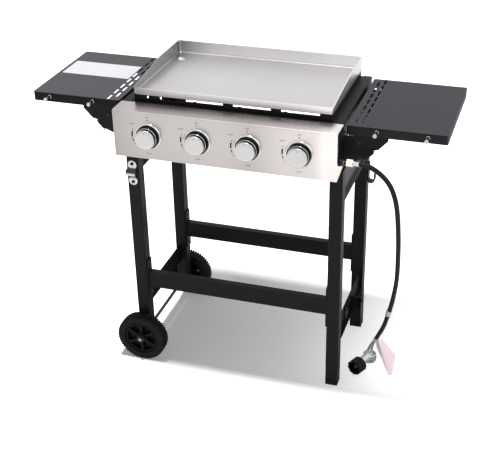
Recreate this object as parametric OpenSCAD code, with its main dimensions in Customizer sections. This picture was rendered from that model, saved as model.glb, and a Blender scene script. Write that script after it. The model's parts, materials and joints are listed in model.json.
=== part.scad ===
// Outdoor gas griddle station: a four-burner firebox on a steel cart, with a
// lift-off griddle plate, two drop-down side shelves, two wheels at the left
// and a gas hose with its regulator at the right.
// Millimetres, +Z up, the knobs face -Y and the hose is on the +X side.
// Places front to back are counted from the front edge of the side shelves
// and are moved at the end, so the origin is the middle of the footprint.

/* [Overall] */
// Length across both side shelves
overall_l = 1140; // [1100:5:1180]
// Height of the shelf tops, the panel top and the firebox deck
deck_z = 822; // [790:2:850]

/* [Legs] */
// Width of a leg tube across the cart
leg_w = 36; // [32:1:38]
// Depth of a leg tube front to back
leg_d = 36; // [32:1:38]
// Wall of the leg tubes
leg_wall = 1.5; // [1:0.25:1.75]
// Outer corner radius of the leg tubes
leg_r = 3; // [2:0.5:5]
// Reach of the legs beyond the sides of the firebox
leg_out = 4; // [2:0.5:5]
// Rear legs in front of the firebox's back
leg_back_in = 2; // [0:0.5:4]
// Height of the short left legs above the ground
leg_lift = 48; // [40:1:56]
// Thickness of the base of a leg cap
cap_base = 3; // [2:0.5:5]
// Length of a leg cap inside the tube
cap_plug = 14; // [8:1:20]

/* [Rails] */
// Height of the front and rear rails
rail_h = 50; // [40:1:60]
// Depth of the front and rear rails
rail_d = 20; // [16:1:26]
// Wall of the rails
rail_wall = 1.5; // [1:0.25:2]
// Height of the middle of the rails
rail_z = 261; // [255:1:270]
// Height of the rails' end plates
rail_plate_h = 126; // [120:2:140]
// Width of the rails' end plates
rail_plate_w = 28; // [24:1:30]
// Thickness of the rails' end plates
rail_plate_t = 4; // [3:0.5:5]
// Screw places above and below the middle of a rail
rail_screw_rise = 48; // [44:1:52]

/* [Side members] */
// Thickness of the side sheets
side_t = 1.5; // [1:0.25:2]
// Depth of the side sheets inside the legs' outer faces
side_inset = 11; // [9:0.5:13]
// Height of the upper side sheets
upper_side_h = 100; // [90:2:120]
// Height of the lower edge of the lower side sheets
lower_side_z = 142; // [130:1:150]
// Height of the lower side sheets
lower_side_h = 61; // [56:1:66]

/* [Wheels] */
// Radius of a wheel over its tread
wheel_r = 75; // [70:1:80]
// Width of a wheel
wheel_w = 34; // [28:1:38]
// Radius of the hub inside the tyre
hub_r = 52; // [46:1:56]
// Radius of the hub's middle boss
boss_r = 13; // [11:0.5:15]
// Width of the hub's rim
hub_rim_w = 26; // [22:1:28]
// Thickness of the hub's web
hub_web = 5; // [4:0.5:8]
// Wall of the hub's rim
hub_rim = 8; // [6:0.5:10]
// Number of spokes
spokes = 6; // [5:1:8]
// Width of a spoke
spoke_w = 9; // [7:0.5:12]
// Number of tread lugs round the tyre
lugs = 36; // [24:2:44]
// Width of a gap between lugs
lug_gap = 5; // [3:0.5:6]
// Depth of the tread
lug_d = 4; // [2:0.5:6]
// Length of a lug across the tread
lug_l = 9; // [6:0.5:12]
// Radius of the wheel axle
axle_r = 5; // [4:0.5:6]
// Gap between a leg and its wheel, filled by a washer
wheel_gap = 2.5; // [2:0.5:4]
// Thickness of the outer washers
washer_t = 1.5; // [1:0.25:2]
// Thickness of an axle nut
axle_nut_t = 7; // [5:0.5:8]
// Width over the flats of an axle nut
axle_nut_af = 16; // [15:1:19]

/* [Firebox] */
// Width of the firebox
box_w = 606; // [600:1:608]
// Depth of the firebox
box_d = 353; // [345:1:360]
// Front of the firebox behind the shelf front edge
box_front_y = 2; // [1:0.5:3]
// Height of the firebox below the deck
box_h = 132; // [128:1:140]
// Sheet thickness of the firebox walls
box_t = 1.5; // [1:0.25:2]
// Thickness of the deck round the griddle
box_deck_t = 3; // [2.5:0.25:4]
// Width of the groove in the deck
groove_w = 7; // [4:0.5:9]
// Depth of the groove in the deck
groove_d = 1.5; // [0.5:0.25:2]
// Width of the ledges that sit on the legs
box_ledge = 34; // [30:1:38]
// Depth of the ledges along the front and the back
box_lip = 12; // [8:1:16]
// Height of the air gap along the foot of the back wall
box_air_h = 9; // [6:0.5:12]
// Height of a slot in the collar under the griddle
collar_slot_h = 7; // [4:0.5:8]
// Gap between two slots in the collar
collar_slot_gap = 28; // [20:1:36]
// Bare end of the collar left of its slots
collar_bare_left = 16.5; // [10:0.5:24]
// Bare end of the collar right of its slots
collar_bare_right = 32.5; // [20:0.5:40]
// Width of a side vent
vent_w = 14; // [8:1:18]
// Height of a side vent
vent_h = 60; // [40:1:70]
// Distance between the side vents
vent_pitch = 92; // [80:1:100]

/* [Griddle] */
// Width of the deck beside the griddle plate
griddle_side_in = 28; // [25:1:34]
// Depth of the deck in front of the griddle plate
griddle_front_in = 10; // [9:0.5:12]
// Depth of the deck behind the griddle plate
griddle_back_in = 3; // [2:0.5:5]
// Height of the griddle's underside above the deck
griddle_rise = 18; // [14:1:22]
// Height of the back wall over the underside
griddle_back_h = 40; // [34:1:48]
// Height of the front lip over the underside
griddle_lip_h = 19; // [14:1:24]
// Depth of the level rear part of the side walls
griddle_level_d = 152; // [120:2:180]
// Thickness of the griddle's walls
griddle_wall = 2.5; // [2:0.25:4]
// Thickness of the griddle's floor
griddle_floor = 4; // [3:0.25:6]
// Corner radius of the griddle
griddle_r = 9; // [6:0.5:12]
// Radius of the drain hole
drain_r = 9; // [7:0.5:11]
// Drain hole in from the griddle's left edge
drain_in_x = 30; // [26:1:34]
// Drain hole in from the griddle's back edge
drain_in_y = 57; // [50:1:64]
// Length of the spout below the griddle
spout_l = 16; // [10:1:20]
// Wall of the spout
spout_wall = 2; // [1.5:0.25:3]

/* [Grease tray] */
// Width of the grease chute
chute_w = 46; // [40:1:50]
// Height of the chute's walls
chute_h = 16; // [12:1:20]
// Height of the chute's underside below the deck
chute_drop = 34; // [30:1:36]
// Sheet thickness of the chute
chute_t = 1.5; // [1:0.25:2]
// Length of the chute out of the back wall
chute_out = 22; // [18:1:28]
// Width of the grease cup
cup_w = 100; // [90:2:120]
// Length of the grease cup
cup_l = 141; // [120:1:150]
// Height of the grease cup
cup_h = 55; // [45:1:65]
// Wall of the grease cup
cup_t = 1.2; // [0.8:0.2:2]
// Corner radius of the grease cup
cup_r = 8; // [5:0.5:12]
// Width of the cup's side lips
cup_lip = 7; // [5:0.5:9]
// Thickness of the cup's side lips
cup_lip_t = 1.2; // [0.8:0.2:2]
// Gap between the back wall and the cup
cup_gap = 6; // [4:0.5:8]
// Thickness of the cup rails
cup_rail_t = 2; // [1.5:0.25:3]
// Height of a cup rail
cup_rail_h = 12; // [10:1:16]

/* [Burners] */
// Radius of a burner tube
burner_r = 12; // [10:0.5:13]
// Wall of a burner tube
burner_wall = 1; // [0.8:0.2:1.6]
// Length of a burner's neck behind the firebox front
burner_neck_l = 30; // [20:1:40]
// Depth over which a burner's neck falls to its level tube
burner_fall_l = 45; // [36:1:60]
// Height of the level burner tubes above the firebox's foot
burner_low = 15; // [13.5:0.5:20]
// Rear rest of the burners in front of the firebox's back
rest_in = 65; // [50:1:80]
// Height of the rear rest
rest_h = 24; // [22:1:28]
// Length of the burners in front of the firebox front
burner_front = 10; // [6:1:14]
// Height of the burners below the deck
burner_drop = 67; // [64:1:70]
// Outer burners in from the sides of the firebox
burner_side_in = 96; // [90:1:104]
// Number of flame slots along a burner
flame_slots = 12; // [8:1:16]
// Width of a flame slot
flame_slot_w = 2; // [1:0.25:3]
// Radius of a burner's rear pin
burner_pin_r = 3; // [2:0.5:4]
// Length of a burner's rear pin
burner_pin_l = 6; // [4:0.5:8]
// Radius of an igniter's ceramic
igniter_r = 3; // [2:0.5:4]
// Height of an igniter
igniter_h = 26; // [20:1:30]

/* [Gas train] */
// Radius of the gas manifold
manifold_r = 9; // [8:0.5:10]
// Height of the manifold below the deck
manifold_drop = 87; // [86:0.5:90]
// Manifold in front of the shelf front edge
manifold_y = 35; // [33:1:38]
// Width of a gas valve
valve_w = 24; // [20:1:30]
// Height of a gas valve over the burner axis
valve_up = 12; // [9:1:16]
// Depth of a gas valve behind the panel
valve_d = 42; // [38:1:44]
// Radius of a valve's jet
jet_r = 4; // [3:0.5:5]
// Length of a valve's jet
jet_l = 8; // [6:0.5:10]
// Radius of a valve stem
stem_r = 3; // [2.5:0.25:4]
// Depth of a stem inside its valve
stem_in = 9; // [7:0.5:10]
// Length of the silver inlet outside the panel side
inlet_l = 18; // [12:1:20]
// Radius of the silver inlet
inlet_r = 6; // [5:0.5:7]
// Width over the flats of the brass nut
nut_af = 19; // [18:1:25]
// Length of the brass nut
nut_l = 14; // [12:1:24]
// Radius of the hose crimps
crimp_r = 7.5; // [7:0.5:9]
// Length of the upper hose crimp
crimp_l = 18; // [14:1:22]
// Radius of the gas hose
hose_r = 6.5; // [5:0.25:7]

/* [Regulator] */
// Radius of the regulator's body
reg_r = 27; // [24:0.5:30]
// Height of the regulator's body
reg_h = 22; // [18:1:26]
// Ground clearance of the regulator's body
reg_lift = 12; // [8:1:14]
// Height of the rolled seam round the body
reg_seam_h = 4; // [3:0.5:6]
// Reach of the rolled seam beyond the body
reg_seam = 1.5; // [1:0.5:3]
// Radius of the spring cap on the body
reg_cap_r = 13; // [10:0.5:16]
// Height of the spring cap
reg_cap_h = 5; // [3:0.5:8]
// Radius of the coupling nut
coupling_r = 23; // [22:0.5:25]
// Length of the coupling nut
coupling_l = 30; // [24:1:36]
// Length of the neck between the regulator's disc and the coupling nut
coupling_neck = 11; // [8:0.5:14]
// Radius of that neck
neck_r = 13; // [11:0.5:15]
// Number of finger grooves in the coupling nut
coupling_grips = 10; // [8:1:14]
// Radius of a finger groove
grip_r = 4; // [3:0.5:5]
// Radius of the pipe between the body and the nut
reg_pipe_r = 9; // [7:0.5:10]
// Radius of the coupling's nose
nose_r = 8; // [6:0.5:9]
// Length of the blank tag at the hose's foot
tag_l = 104; // [90:2:120]
// Share of the tag's width that its ends keep
tag_end = 0.3; // [0.2:0.05:0.4]
// Width of the blank tag
tag_w = 48; // [40:2:60]
// Thickness of the tag and of its tie
tag_t = 1; // [0.8:0.2:1.6]

/* [Control panel] */
// Reach of the control panel beyond each side of the firebox
panel_over = 2.5; // [1:0.25:3]
// Depth of the control panel's top
panel_d = 62; // [60:1:64]
// Height of the control panel
panel_h = 132; // [126:1:138]
// Sheet thickness of the panel
panel_t = 1.2; // [1:0.1:1.6]
// Radius of the panel's bend
panel_r = 4; // [2:0.5:6]
// Rise of the side returns' lower edges towards the back
return_rise = 14; // [8:1:20]
// Outer radius of a bezel
bezel_r = 38; // [35:0.5:40]
// Inner radius of a bezel
bezel_in = 34; // [33:0.5:35]
// Height of a bezel
bezel_h = 4; // [3:0.5:6]
// Radius of a knob's base flange
knob_flange_r = 31.5; // [28:0.5:31.5]
// Height of a knob's base flange
knob_flange_h = 4; // [3:0.5:5]
// Radius of a knob's body
knob_r = 28; // [25:0.5:29]
// Radius of a knob's face
knob_face_r = 26.5; // [24:0.5:27]
// Distance from the panel to a knob's face
knob_out = 26; // [24:1:30]
// Travel of a knob when it is pushed in
knob_push = 3.5; // [2:0.5:4]

/* [Side shelves] */
// Gap between the firebox and a side shelf
shelf_gap = 10; // [9:0.5:12]
// Shelves' rear edges in front of the firebox's back
shelf_back_in = 16; // [12:1:24]
// Depth of a shelf's rims
rim_h = 25; // [22:1:28]
// Sheet thickness of a shelf
shelf_t = 1.2; // [1:0.1:1.6]
// Corner radius of a shelf
shelf_r = 6; // [4:0.5:8]
// Number of ventilation slots in the longer row
slots = 8; // [6:1:9]
// Gap between the end slots and the shelf's edges
slot_end = 3.5; // [3:0.5:8]
// Length of a ventilation slot
slot_l = 31; // [24:1:34]
// Width of a ventilation slot
slot_w = 6; // [4:0.5:8]
// Inner row of slots in from the shelf's inner end
slot_row_in = 19; // [16:1:22]
// Distance between the two rows of slots
slot_row_gap = 16; // [14:1:18]
// Tool pegs in from the shelf's outer end
peg_in = 50; // [40:1:60]
// Inner tool peg in from the shelf's inner end
peg_inner_in = 78; // [70:1:90]
// Height of the tool pegs below the deck
peg_drop = 10; // [9:0.5:12]
// Length of a tool peg
peg_l = 28; // [20:1:32]
// Radius of a tool peg's head and collar
peg_r = 6.5; // [5:0.5:8]
// Radius of a tool peg's neck
peg_neck_r = 3.5; // [2.5:0.25:4]
// Thickness of a peg's head
peg_head_t = 5; // [3:0.5:6]
// Thickness of a peg's collar
peg_collar_t = 2; // [1:0.5:3]
// Blank plate in from the left shelf's inner end
plate_inner_in = 41; // [40:1:60]
// Depth of the blank plate
plate_d = 100; // [80:1:110]
// Thickness of the blank plate
plate_t = 0.4; // [0.3:0.1:1]
// Blank plate in from the shelf's outer end
plate_in = 11; // [8:1:16]
// Front of the blank plate behind the shelf front edge
plate_y = 155; // [140:1:170]

/* [Shelf brackets] */
// Thickness of the shelf arms
arm_t = 2.5; // [2:0.25:3]
// Reach of a shelf arm beyond its pivot
arm_reach = 73; // [66:1:80]
// Radius of the pivot pins
pivot_r = 3; // [2.5:0.25:4]
// Pivot out from the shelf's inner end
pivot_x = 35; // [33:0.5:38]
// Pivot below the deck
pivot_drop = 45; // [43:0.5:48]
// Thickness of the fixed brackets
bracket_t = 2.5; // [2:0.25:3]
// Reach of a fixed bracket from the firebox
bracket_reach = 82; // [76:1:84]
// Height of a fixed bracket
bracket_h = 86; // [80:1:90]
// Top of a fixed bracket below the deck
bracket_drop = 30; // [29:0.5:34]
// Width of a fixed bracket's screwed flange
bracket_flange = 28; // [24:1:32]
// Radius of a pivot pin's head
pivot_head_r = 5; // [4.5:0.25:7]
// Thickness of a pivot pin's head
pivot_head_t = 2; // [1.5:0.25:3]
// Thickness of the black plates at the panel's ends
end_plate_t = 1.5; // [1:0.25:1.75]

/* [Trim] */
// Height of the bottle opener
opener_h = 74; // [66:1:80]
// Width of the bottle opener
opener_w = 26; // [22:1:28]
// Thickness of the bottle opener
opener_t = 2.5; // [2:0.25:3]
// Middle of the bottle opener below the firebox
opener_drop = 80; // [60:2:100]
// Reach of the opener's hood beyond its plate
opener_tongue = 11; // [8:1:16]
// Distance the opener's hood stands out
opener_out = 14; // [10:1:18]
// Rise of the opener's hood from its lip to its plate
opener_hood = 14; // [10:1:18]
// Upper bottle hook below the firebox
hook_drop = 170; // [150:2:190]
// Reach of the upper bottle hook from the leg
hook_reach = 22; // [18:1:28]
// Height of the hook's tip
hook_h = 30; // [24:1:36]
// Width of the hook
hook_w = 24; // [18:1:28]
// Thickness of the hook's steel
hook_t = 3; // [2.5:0.25:4]
// Reach of the lower bottle bracket from the side sheet
cradle_reach = 42; // [36:1:48]
// Bend radius of the lower bottle bracket
cradle_r = 20; // [16:1:24]
// Height of the lower bottle bracket
cradle_h = 50; // [44:1:56]
// Lower bottle bracket behind the shelf front edge
cradle_y = 190; // [180:1:200]
// Thickness of the lower bottle bracket
cradle_t = 3; // [2.5:0.25:4]
// Length of the bracket's screwed base
cradle_base = 66; // [60:1:72]
// Radius of a frame screw's shank
screw_r = 2.5; // [2:0.25:3]
// Radius of a frame screw's head
screw_head_r = 5; // [4.5:0.25:6]
// Height of a frame screw's head
screw_head_h = 3; // [2:0.25:4]

/* [Hidden] */
cut = 1;
// Clearances: round running fits, and parts that slide or swing past another
run_fit = 0.05;
slip = 0.3;
ring_n = 96;
arc_n = 48;

// Places worked out from the sizes above
knob_front = panel_d + knob_out;
box_x = box_w / 2;
box_back_y = box_front_y + box_d;
box_z = deck_z - box_h;
cup_y0 = box_back_y + cup_gap;
cup_y1 = cup_y0 + cup_l;
overall_d = knob_front + cup_y1;
shift_y = knob_front - overall_d / 2;
leg_x = box_x + leg_out - leg_w / 2;
leg_in_x = leg_x - leg_w / 2;
leg_out_x = leg_x + leg_w / 2;
leg_front_y = box_front_y + leg_d / 2;
leg_rear_y = box_back_y - leg_back_in - leg_d / 2;
leg_span_y = leg_rear_y - leg_front_y;
upper_side_z = box_z - upper_side_h;
griddle_z = deck_z + griddle_rise;
griddle_x = box_x - griddle_side_in;
griddle_w = 2 * griddle_x;
griddle_front_y = box_front_y + griddle_front_in;
griddle_back_y = box_back_y - griddle_back_in;
griddle_d = griddle_back_y - griddle_front_y;
griddle_mid_y = griddle_front_y + griddle_d / 2;
collar_in = griddle_wall;
collar_x = griddle_x - collar_in;
collar_front_y = griddle_front_y + collar_in;
collar_back_y = griddle_back_y - collar_in;
collar_slot_l = (2 * collar_x - collar_bare_left - collar_bare_right - 3 * collar_slot_gap) / 4;
drain_x = -(griddle_x - drain_in_x);
drain_y = griddle_back_y - drain_in_y;
burner_z = deck_z - burner_drop;
burner_low_z = box_z + burner_low;
burner_pitch = (box_w - 2 * burner_side_in) / 3;
rest_y = box_back_y - rest_in;
manifold_z = deck_z - manifold_drop;
panel_x = box_x + panel_over;
panel_w = 2 * panel_x;
panel_z = deck_z - panel_h;
shelf_in_x = box_x + shelf_gap;
shelf_w = overall_l / 2 - shelf_in_x;
shelf_d = box_back_y - shelf_back_in;
slot_pitch = (shelf_d - slot_l - 2 * slot_end) / (slots - 1);
pivot_at_x = shelf_in_x + pivot_x;
pivot_z = deck_z - pivot_drop;
arm_y = shelf_t;
bracket_y = arm_y + arm_t + slip;
side_x = leg_out_x - side_inset;
axle_ends = leg_d / 2 + wheel_gap + wheel_w + washer_t + axle_nut_t;
outer_x = panel_x + end_plate_t;
chute_z = deck_z - chute_drop;
cup_top = chute_z - cup_lip_t - slip;
opener_z = box_z - opener_drop;
hook_z = box_z - hook_drop;

// Points that the gas hose goes through, from the crimp at the inlet to the
// regulator; they move with the inlet, and their heights with its height
hose_points = [[357, -35, 735], [382, -35, 731], [410, -35, 715], [434, -35, 690],
  [449, -32, 656], [458, -27, 611], [462, -12, 536], [461, 12, 454], [456, 42, 363],
  [443, 75, 276], [430, 100, 216], [412, 130, 146], [387, 165, 77]];
nut_x = outer_x + inlet_l;
hose_shift = [nut_x + nut_l + crimp_l - hose_points[0][0], -manifold_y - hose_points[0][1], 0];
hose_route = [for (p = hose_points) [p[0], p[1], p[2] * manifold_z / hose_points[0][2]]
  + hose_shift];
hose_exit = [1, 0, 0];
hose_end_dir = [-4, 5, -11];
hose_sides = 10;
hose_steps = 5;
collar_seg = 10;
collar_half = 12;
collar_wall = 2;
// Where the regulator lies, and the way its coupling nut points
reg_at = [370, 132, 0] + hose_shift;
reg_turn = -115.3;
// Where the middle of the tag's lower end rests on the ground
tag_rest = [446, 91, 0] + hose_shift;

// Shared shapes
module along_x(l) { rotate([90, 0, 90]) linear_extrude(l, center = true) children(); }
module along_y(l) { rotate([90, 0, 0]) linear_extrude(l, center = true) children(); }
module between(lo, hi) { translate(lo) cube(hi - lo); }
module rrect(w, h, r) {
  square([w - 2 * r, h], center = true);
  square([w, h - 2 * r], center = true);
  for (sx = [-1, 1], sy = [-1, 1])
    translate([sx * (w / 2 - r), sy * (h / 2 - r)]) circle(r, $fn = arc_n);
}
module rod(p, q, ra, rb) {
  d = q - p;
  l = norm(d);
  translate(p) rotate([0, acos(d[2] / l), atan2(d[1], d[0])])
    cylinder(h = l, r1 = ra, r2 = rb, $fn = ring_n);
}
module hex(af, l) {
  rotate([0, 90, 0]) rotate([0, 0, 30]) cylinder(h = l, r = af / sqrt(3), $fn = 6);
}
module place() { translate([0, shift_y, 0]) children(); }
module leg_places(sx) {
  for (y = [leg_front_y, leg_rear_y]) translate([sx * leg_x, y, 0]) children();
}

// Frame screws: [place of the seat, direction the head faces]
rail_screws = [for (sx = [-1, 1], y = [leg_front_y, leg_rear_y], sz = [-1, 1])
  [[sx * (leg_in_x - rail_plate_t), y, rail_z + sz * rail_screw_rise], [-sx, 0, 0]]];
opener_screws = [for (sz = [-1, 1])
  [[-leg_x, leg_front_y - leg_d / 2 - opener_t, opener_z + sz * opener_h * 0.37],
    [0, -1, 0]]];
hook_screws = [for (sz = [-1, 1])
  [[leg_out_x + hook_t, leg_rear_y, hook_z + hook_h * 0.6 + sz * hook_h * 0.3 + hook_h / 2],
    [1, 0, 0]]];
cradle_screws = [for (t = [0.22, 0.98])
  [[side_x + cradle_t, cradle_y - cradle_base * t + cradle_t, lower_side_z + side_t
    + cradle_h * 0.8], [1, 0, 0]]];
panel_screws = [for (sx = [-1, 1]) [[sx * outer_x, -panel_d * 0.27, deck_z - panel_h * 0.15],
  [sx, 0, 0]]];
all_screws = concat(rail_screws, opener_screws, hook_screws, cradle_screws, panel_screws);
screw_depth = rail_plate_t + leg_wall + screw_r;
module screw(s) {
  rod(s[0], s[0] + s[1] * screw_head_h, screw_head_r, screw_head_r * 0.8);
  rod(s[0] - s[1] * screw_depth, s[0], screw_r, screw_r);
}
module screw_cuts() {
  for (s = all_screws) rod(s[0] - s[1] * (screw_depth + slip), s[0] + s[1] * cut,
    screw_r + run_fit, screw_r + run_fit);
}

// Legs
module leg(z0) {
  difference() {
    translate([0, 0, z0]) linear_extrude(box_z - z0) rrect(leg_w, leg_d, leg_r);
    translate([0, 0, z0 - cut]) linear_extrude(box_z - z0 + 2 * cut)
      rrect(leg_w - 2 * leg_wall, leg_d - 2 * leg_wall, leg_r - leg_wall / 2);
  }
}
module one_leg(sx, y, z0) {
  color("#202022") place() difference() {
    translate([sx * leg_x, y, 0]) leg(z0);
    // the wheel axle goes through the left legs only
    translate([-leg_x, y, wheel_r]) rotate([90, 0, 0])
      cylinder(h = leg_d + 2 * cut, r = axle_r + run_fit, center = true, $fn = ring_n);
    screw_cuts();
  }
}
module leg_front_left() { one_leg(-1, leg_front_y, leg_lift + cap_base); }
module leg_rear_left() { one_leg(-1, leg_rear_y, leg_lift + cap_base); }
module leg_front_right() { one_leg(1, leg_front_y, cap_base); }
module leg_rear_right() { one_leg(1, leg_rear_y, cap_base); }
module leg_cap() {
  linear_extrude(cap_base) rrect(leg_w, leg_d, leg_r);
  translate([0, 0, cap_base]) linear_extrude(cap_plug)
    rrect(leg_w - 2 * leg_wall - slip, leg_d - 2 * leg_wall - slip, leg_r - leg_wall / 2);
}
module leg_caps() {
  color("#161617") place() {
    leg_places(1) leg_cap();
    leg_places(-1) translate([0, 0, leg_lift]) leg_cap();
  }
}

// Rails
module rail(y) {
  color("#222224") place() difference() {
    union() {
      translate([0, y, rail_z]) cube([2 * (leg_in_x - rail_plate_t), rail_d, rail_h],
        center = true);
      for (sx = [-1, 1]) translate([sx * (leg_in_x - rail_plate_t / 2), y, rail_z])
        cube([rail_plate_t, rail_plate_w, rail_plate_h], center = true);
    }
    translate([0, y, rail_z]) cube([2 * leg_in_x + 2 * cut, rail_d - 2 * rail_wall,
      rail_h - 2 * rail_wall], center = true);
    screw_cuts();
  }
}
module front_rail() { rail(leg_front_y); }
module rear_rail() { rail(leg_rear_y); }

// Side members: a sheet between the legs with a flange along its foot
module side_member(sx, z0, z1) {
  y0 = leg_front_y + leg_d / 2;
  y1 = leg_rear_y - leg_d / 2;
  color("#1e1e20") place() difference() {
    scale([sx, 1, 1]) union() {
      between([side_x - side_t, y0, z0], [side_x, y1, z1]);
      between([side_x - side_t, y0, z0], [leg_out_x, y1, z0 + side_t]);
    }
    screw_cuts();
  }
}
module upper_side_left() { side_member(-1, upper_side_z, box_z); }
module upper_side_right() { side_member(1, upper_side_z, box_z); }
module lower_side_left() { side_member(-1, lower_side_z, lower_side_z + lower_side_h); }
module lower_side_right() { side_member(1, lower_side_z, lower_side_z + lower_side_h); }

// Wheels
wheel_mid = leg_d / 2 + wheel_gap + wheel_w / 2;
front_wheel_y = leg_front_y - wheel_mid;
rear_wheel_y = leg_rear_y + wheel_mid;
module wheel_place(y) {
  place() translate([-leg_x, y, wheel_r]) rotate([90, 0, 0]) children();
}
module hub() {
  ra = boss_r + (hub_r - boss_r) * 0.1;
  rb = hub_r - hub_rim;
  difference() {
    union() {
      cylinder(h = hub_rim_w, r = hub_r, center = true, $fn = ring_n);
      cylinder(h = wheel_w, r = boss_r, center = true, $fn = ring_n);
    }
    for (i = [0 : spokes - 1], s = [-1, 1]) {
      half_a = 180 / spokes;
      ga = asin(spoke_w / 2 / ra);
      gb = asin(spoke_w / 2 / rb);
      rotate([0, 0, i * 360 / spokes]) translate([0, 0, s > 0 ? hub_web / 2 : -hub_web / 2
        - hub_rim_w]) linear_extrude(hub_rim_w) polygon(concat(
          [for (k = [0 : 4]) let (a = -half_a + ga + (2 * half_a - 2 * ga) * k / 4)
            ra * [cos(a), sin(a)]],
          [for (k = [0 : 8]) let (a = half_a - gb - (2 * half_a - 2 * gb) * k / 8)
            rb * [cos(a), sin(a)]]));
    }
    cylinder(h = wheel_w + 2 * cut, r = axle_r + run_fit, center = true, $fn = ring_n);
  }
}
module tyre() {
  difference() {
    rotate_extrude($fn = ring_n) translate([(hub_r + wheel_r) / 2, 0])
      rrect(wheel_r - hub_r, wheel_w, (wheel_w - hub_rim_w) / 2);
    for (i = [0 : lugs - 1], s = [-1, 1])
      rotate([0, 0, (i + s / 4) * 360 / lugs])
        translate([wheel_r - lug_d, -lug_gap / 2, s > 0 ? wheel_w / 2 - lug_l
          : -wheel_w / 2 - cut]) cube([lug_d + cut, lug_gap, lug_l + cut]);
  }
}
module front_wheel_hub() { color("#242426") wheel_place(front_wheel_y) hub(); }
module front_tyre() { color("#1a1a1b") wheel_place(front_wheel_y) tyre(); }
module rear_wheel_hub() { color("#242426") wheel_place(rear_wheel_y) hub(); }
module rear_tyre() { color("#1a1a1b") wheel_place(rear_wheel_y) tyre(); }
module wheel_axle() {
  color("#3a3a3c") place() translate([-leg_x, leg_front_y - axle_ends, wheel_r])
    rotate([-90, 0, 0]) cylinder(h = leg_span_y + 2 * axle_ends, r = axle_r, $fn = ring_n);
}
module axle_ring(y, t, r) {
  translate([-leg_x, y, wheel_r]) rotate([-90, 0, 0]) difference() {
    cylinder(h = t, r = r, $fn = ring_n);
    translate([0, 0, -cut]) cylinder(h = t + 2 * cut, r = axle_r + run_fit, $fn = ring_n);
  }
}
module axle_nut(y) {
  translate([-leg_x, y, wheel_r]) rotate([-90, 0, 0]) difference() {
    cylinder(h = axle_nut_t, r = axle_nut_af / sqrt(3), $fn = 6);
    translate([0, 0, -cut]) cylinder(h = axle_nut_t + 2 * cut, r = axle_r, $fn = ring_n);
  }
}
module axle_hardware() {
  f = leg_front_y - leg_d / 2;
  b = leg_rear_y + leg_d / 2;
  color("#a8a8aa") place() {
    axle_ring(f - wheel_gap + slip, wheel_gap - slip, axle_r * 2);
    axle_ring(b, wheel_gap - slip, axle_r * 2);
    axle_ring(f - wheel_gap - wheel_w - washer_t, washer_t - slip, axle_r * 2);
    axle_ring(b + wheel_gap + wheel_w + slip, washer_t - slip, axle_r * 2);
    axle_nut(f - wheel_gap - wheel_w - washer_t - axle_nut_t);
    axle_nut(b + wheel_gap + wheel_w + washer_t);
  }
}

// Firebox: four walls, a deck, a collar under the griddle, open below
module firebox() {
  wall_z = box_z + box_t;
  deck_low = deck_z - box_deck_t;
  vent_y = (box_front_y + box_back_y) / 2;
  slot_x0 = -collar_x + collar_bare_left;
  color("#19191b") place() difference() {
    union() {
      between([-box_x, box_front_y, box_z], [box_x, box_back_y, deck_z]);
      between([-collar_x, collar_front_y, deck_low], [collar_x, collar_back_y, griddle_z]);
    }
    between([-box_x + box_t, box_front_y + box_t, wall_z],
      [box_x - box_t, box_back_y - box_t, deck_low]);
    between([-collar_x + box_t, collar_front_y + box_t, deck_low - cut],
      [collar_x - box_t, collar_back_y - box_t, griddle_z + cut]);
    between([-box_x + box_ledge, box_front_y + box_lip, box_z - cut],
      [box_x - box_ledge, box_back_y - box_lip, wall_z + cut]);
    // groove round the collar
    difference() {
      between([-collar_x - groove_w, collar_front_y - groove_w, deck_z - groove_d],
        [collar_x + groove_w, box_back_y + cut, deck_z + cut]);
      between([-collar_x, collar_front_y, deck_z - groove_d - cut],
        [collar_x, collar_back_y, deck_z + 2 * cut]);
    }
    // slots in the front of the collar, and the air gap at the foot of the back wall
    for (k = [0 : 3]) translate([slot_x0 + k * (collar_slot_l + collar_slot_gap), box_front_y,
      griddle_z - collar_slot_h - griddle_wall / 2])
        cube([collar_slot_l, collar_front_y - box_front_y + 2 * box_t, collar_slot_h]);
    between([-box_x + box_ledge, box_back_y - box_lip - cut, box_z - cut],
      [box_x - box_ledge, box_back_y + cut, box_z + box_air_h]);
    // vents in the side walls
    for (k = [-1 : 1]) translate([0, vent_y + (k - 0.12) * vent_pitch, burner_z - vent_h / 5])
      cube([box_w + 2 * cut, vent_w, vent_h], center = true);
    // burner mouths and the way out for the grease chute
    for (k = [-1.5 : 1.5])
      translate([k * burner_pitch, box_front_y + box_t + cut, burner_z]) rotate([90, 0, 0])
        cylinder(h = box_t + 2 * cut, r = burner_r + run_fit, $fn = ring_n);
    between([drain_x - chute_w / 2, box_back_y - box_t - cut, chute_z],
      [drain_x + chute_w / 2, box_back_y + cut, chute_z + chute_h]);
    for (sx = [-1, 1], y = flange_screw_y)
      translate([sx * box_x, y, pivot_z - pivot_drop / 2]) rotate([0, 90, 0])
        cylinder(h = 2 * box_t + 2 * cut, r = screw_r + run_fit, center = true, $fn = ring_n);
  }
  // strip from side to side that the burners' rear pins rest in
  color("#19191b") place() difference() {
    between([-box_x + box_t / 2, rest_y, box_z], [box_x - box_t / 2, rest_y + box_t,
      box_z + rest_h]);
    for (k = [-1.5 : 1.5]) translate([k * burner_pitch, rest_y - cut, burner_low_z])
      rotate([-90, 0, 0]) cylinder(h = box_t + 2 * cut, r = burner_pin_r + run_fit,
        $fn = ring_n);
  }
}

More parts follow.
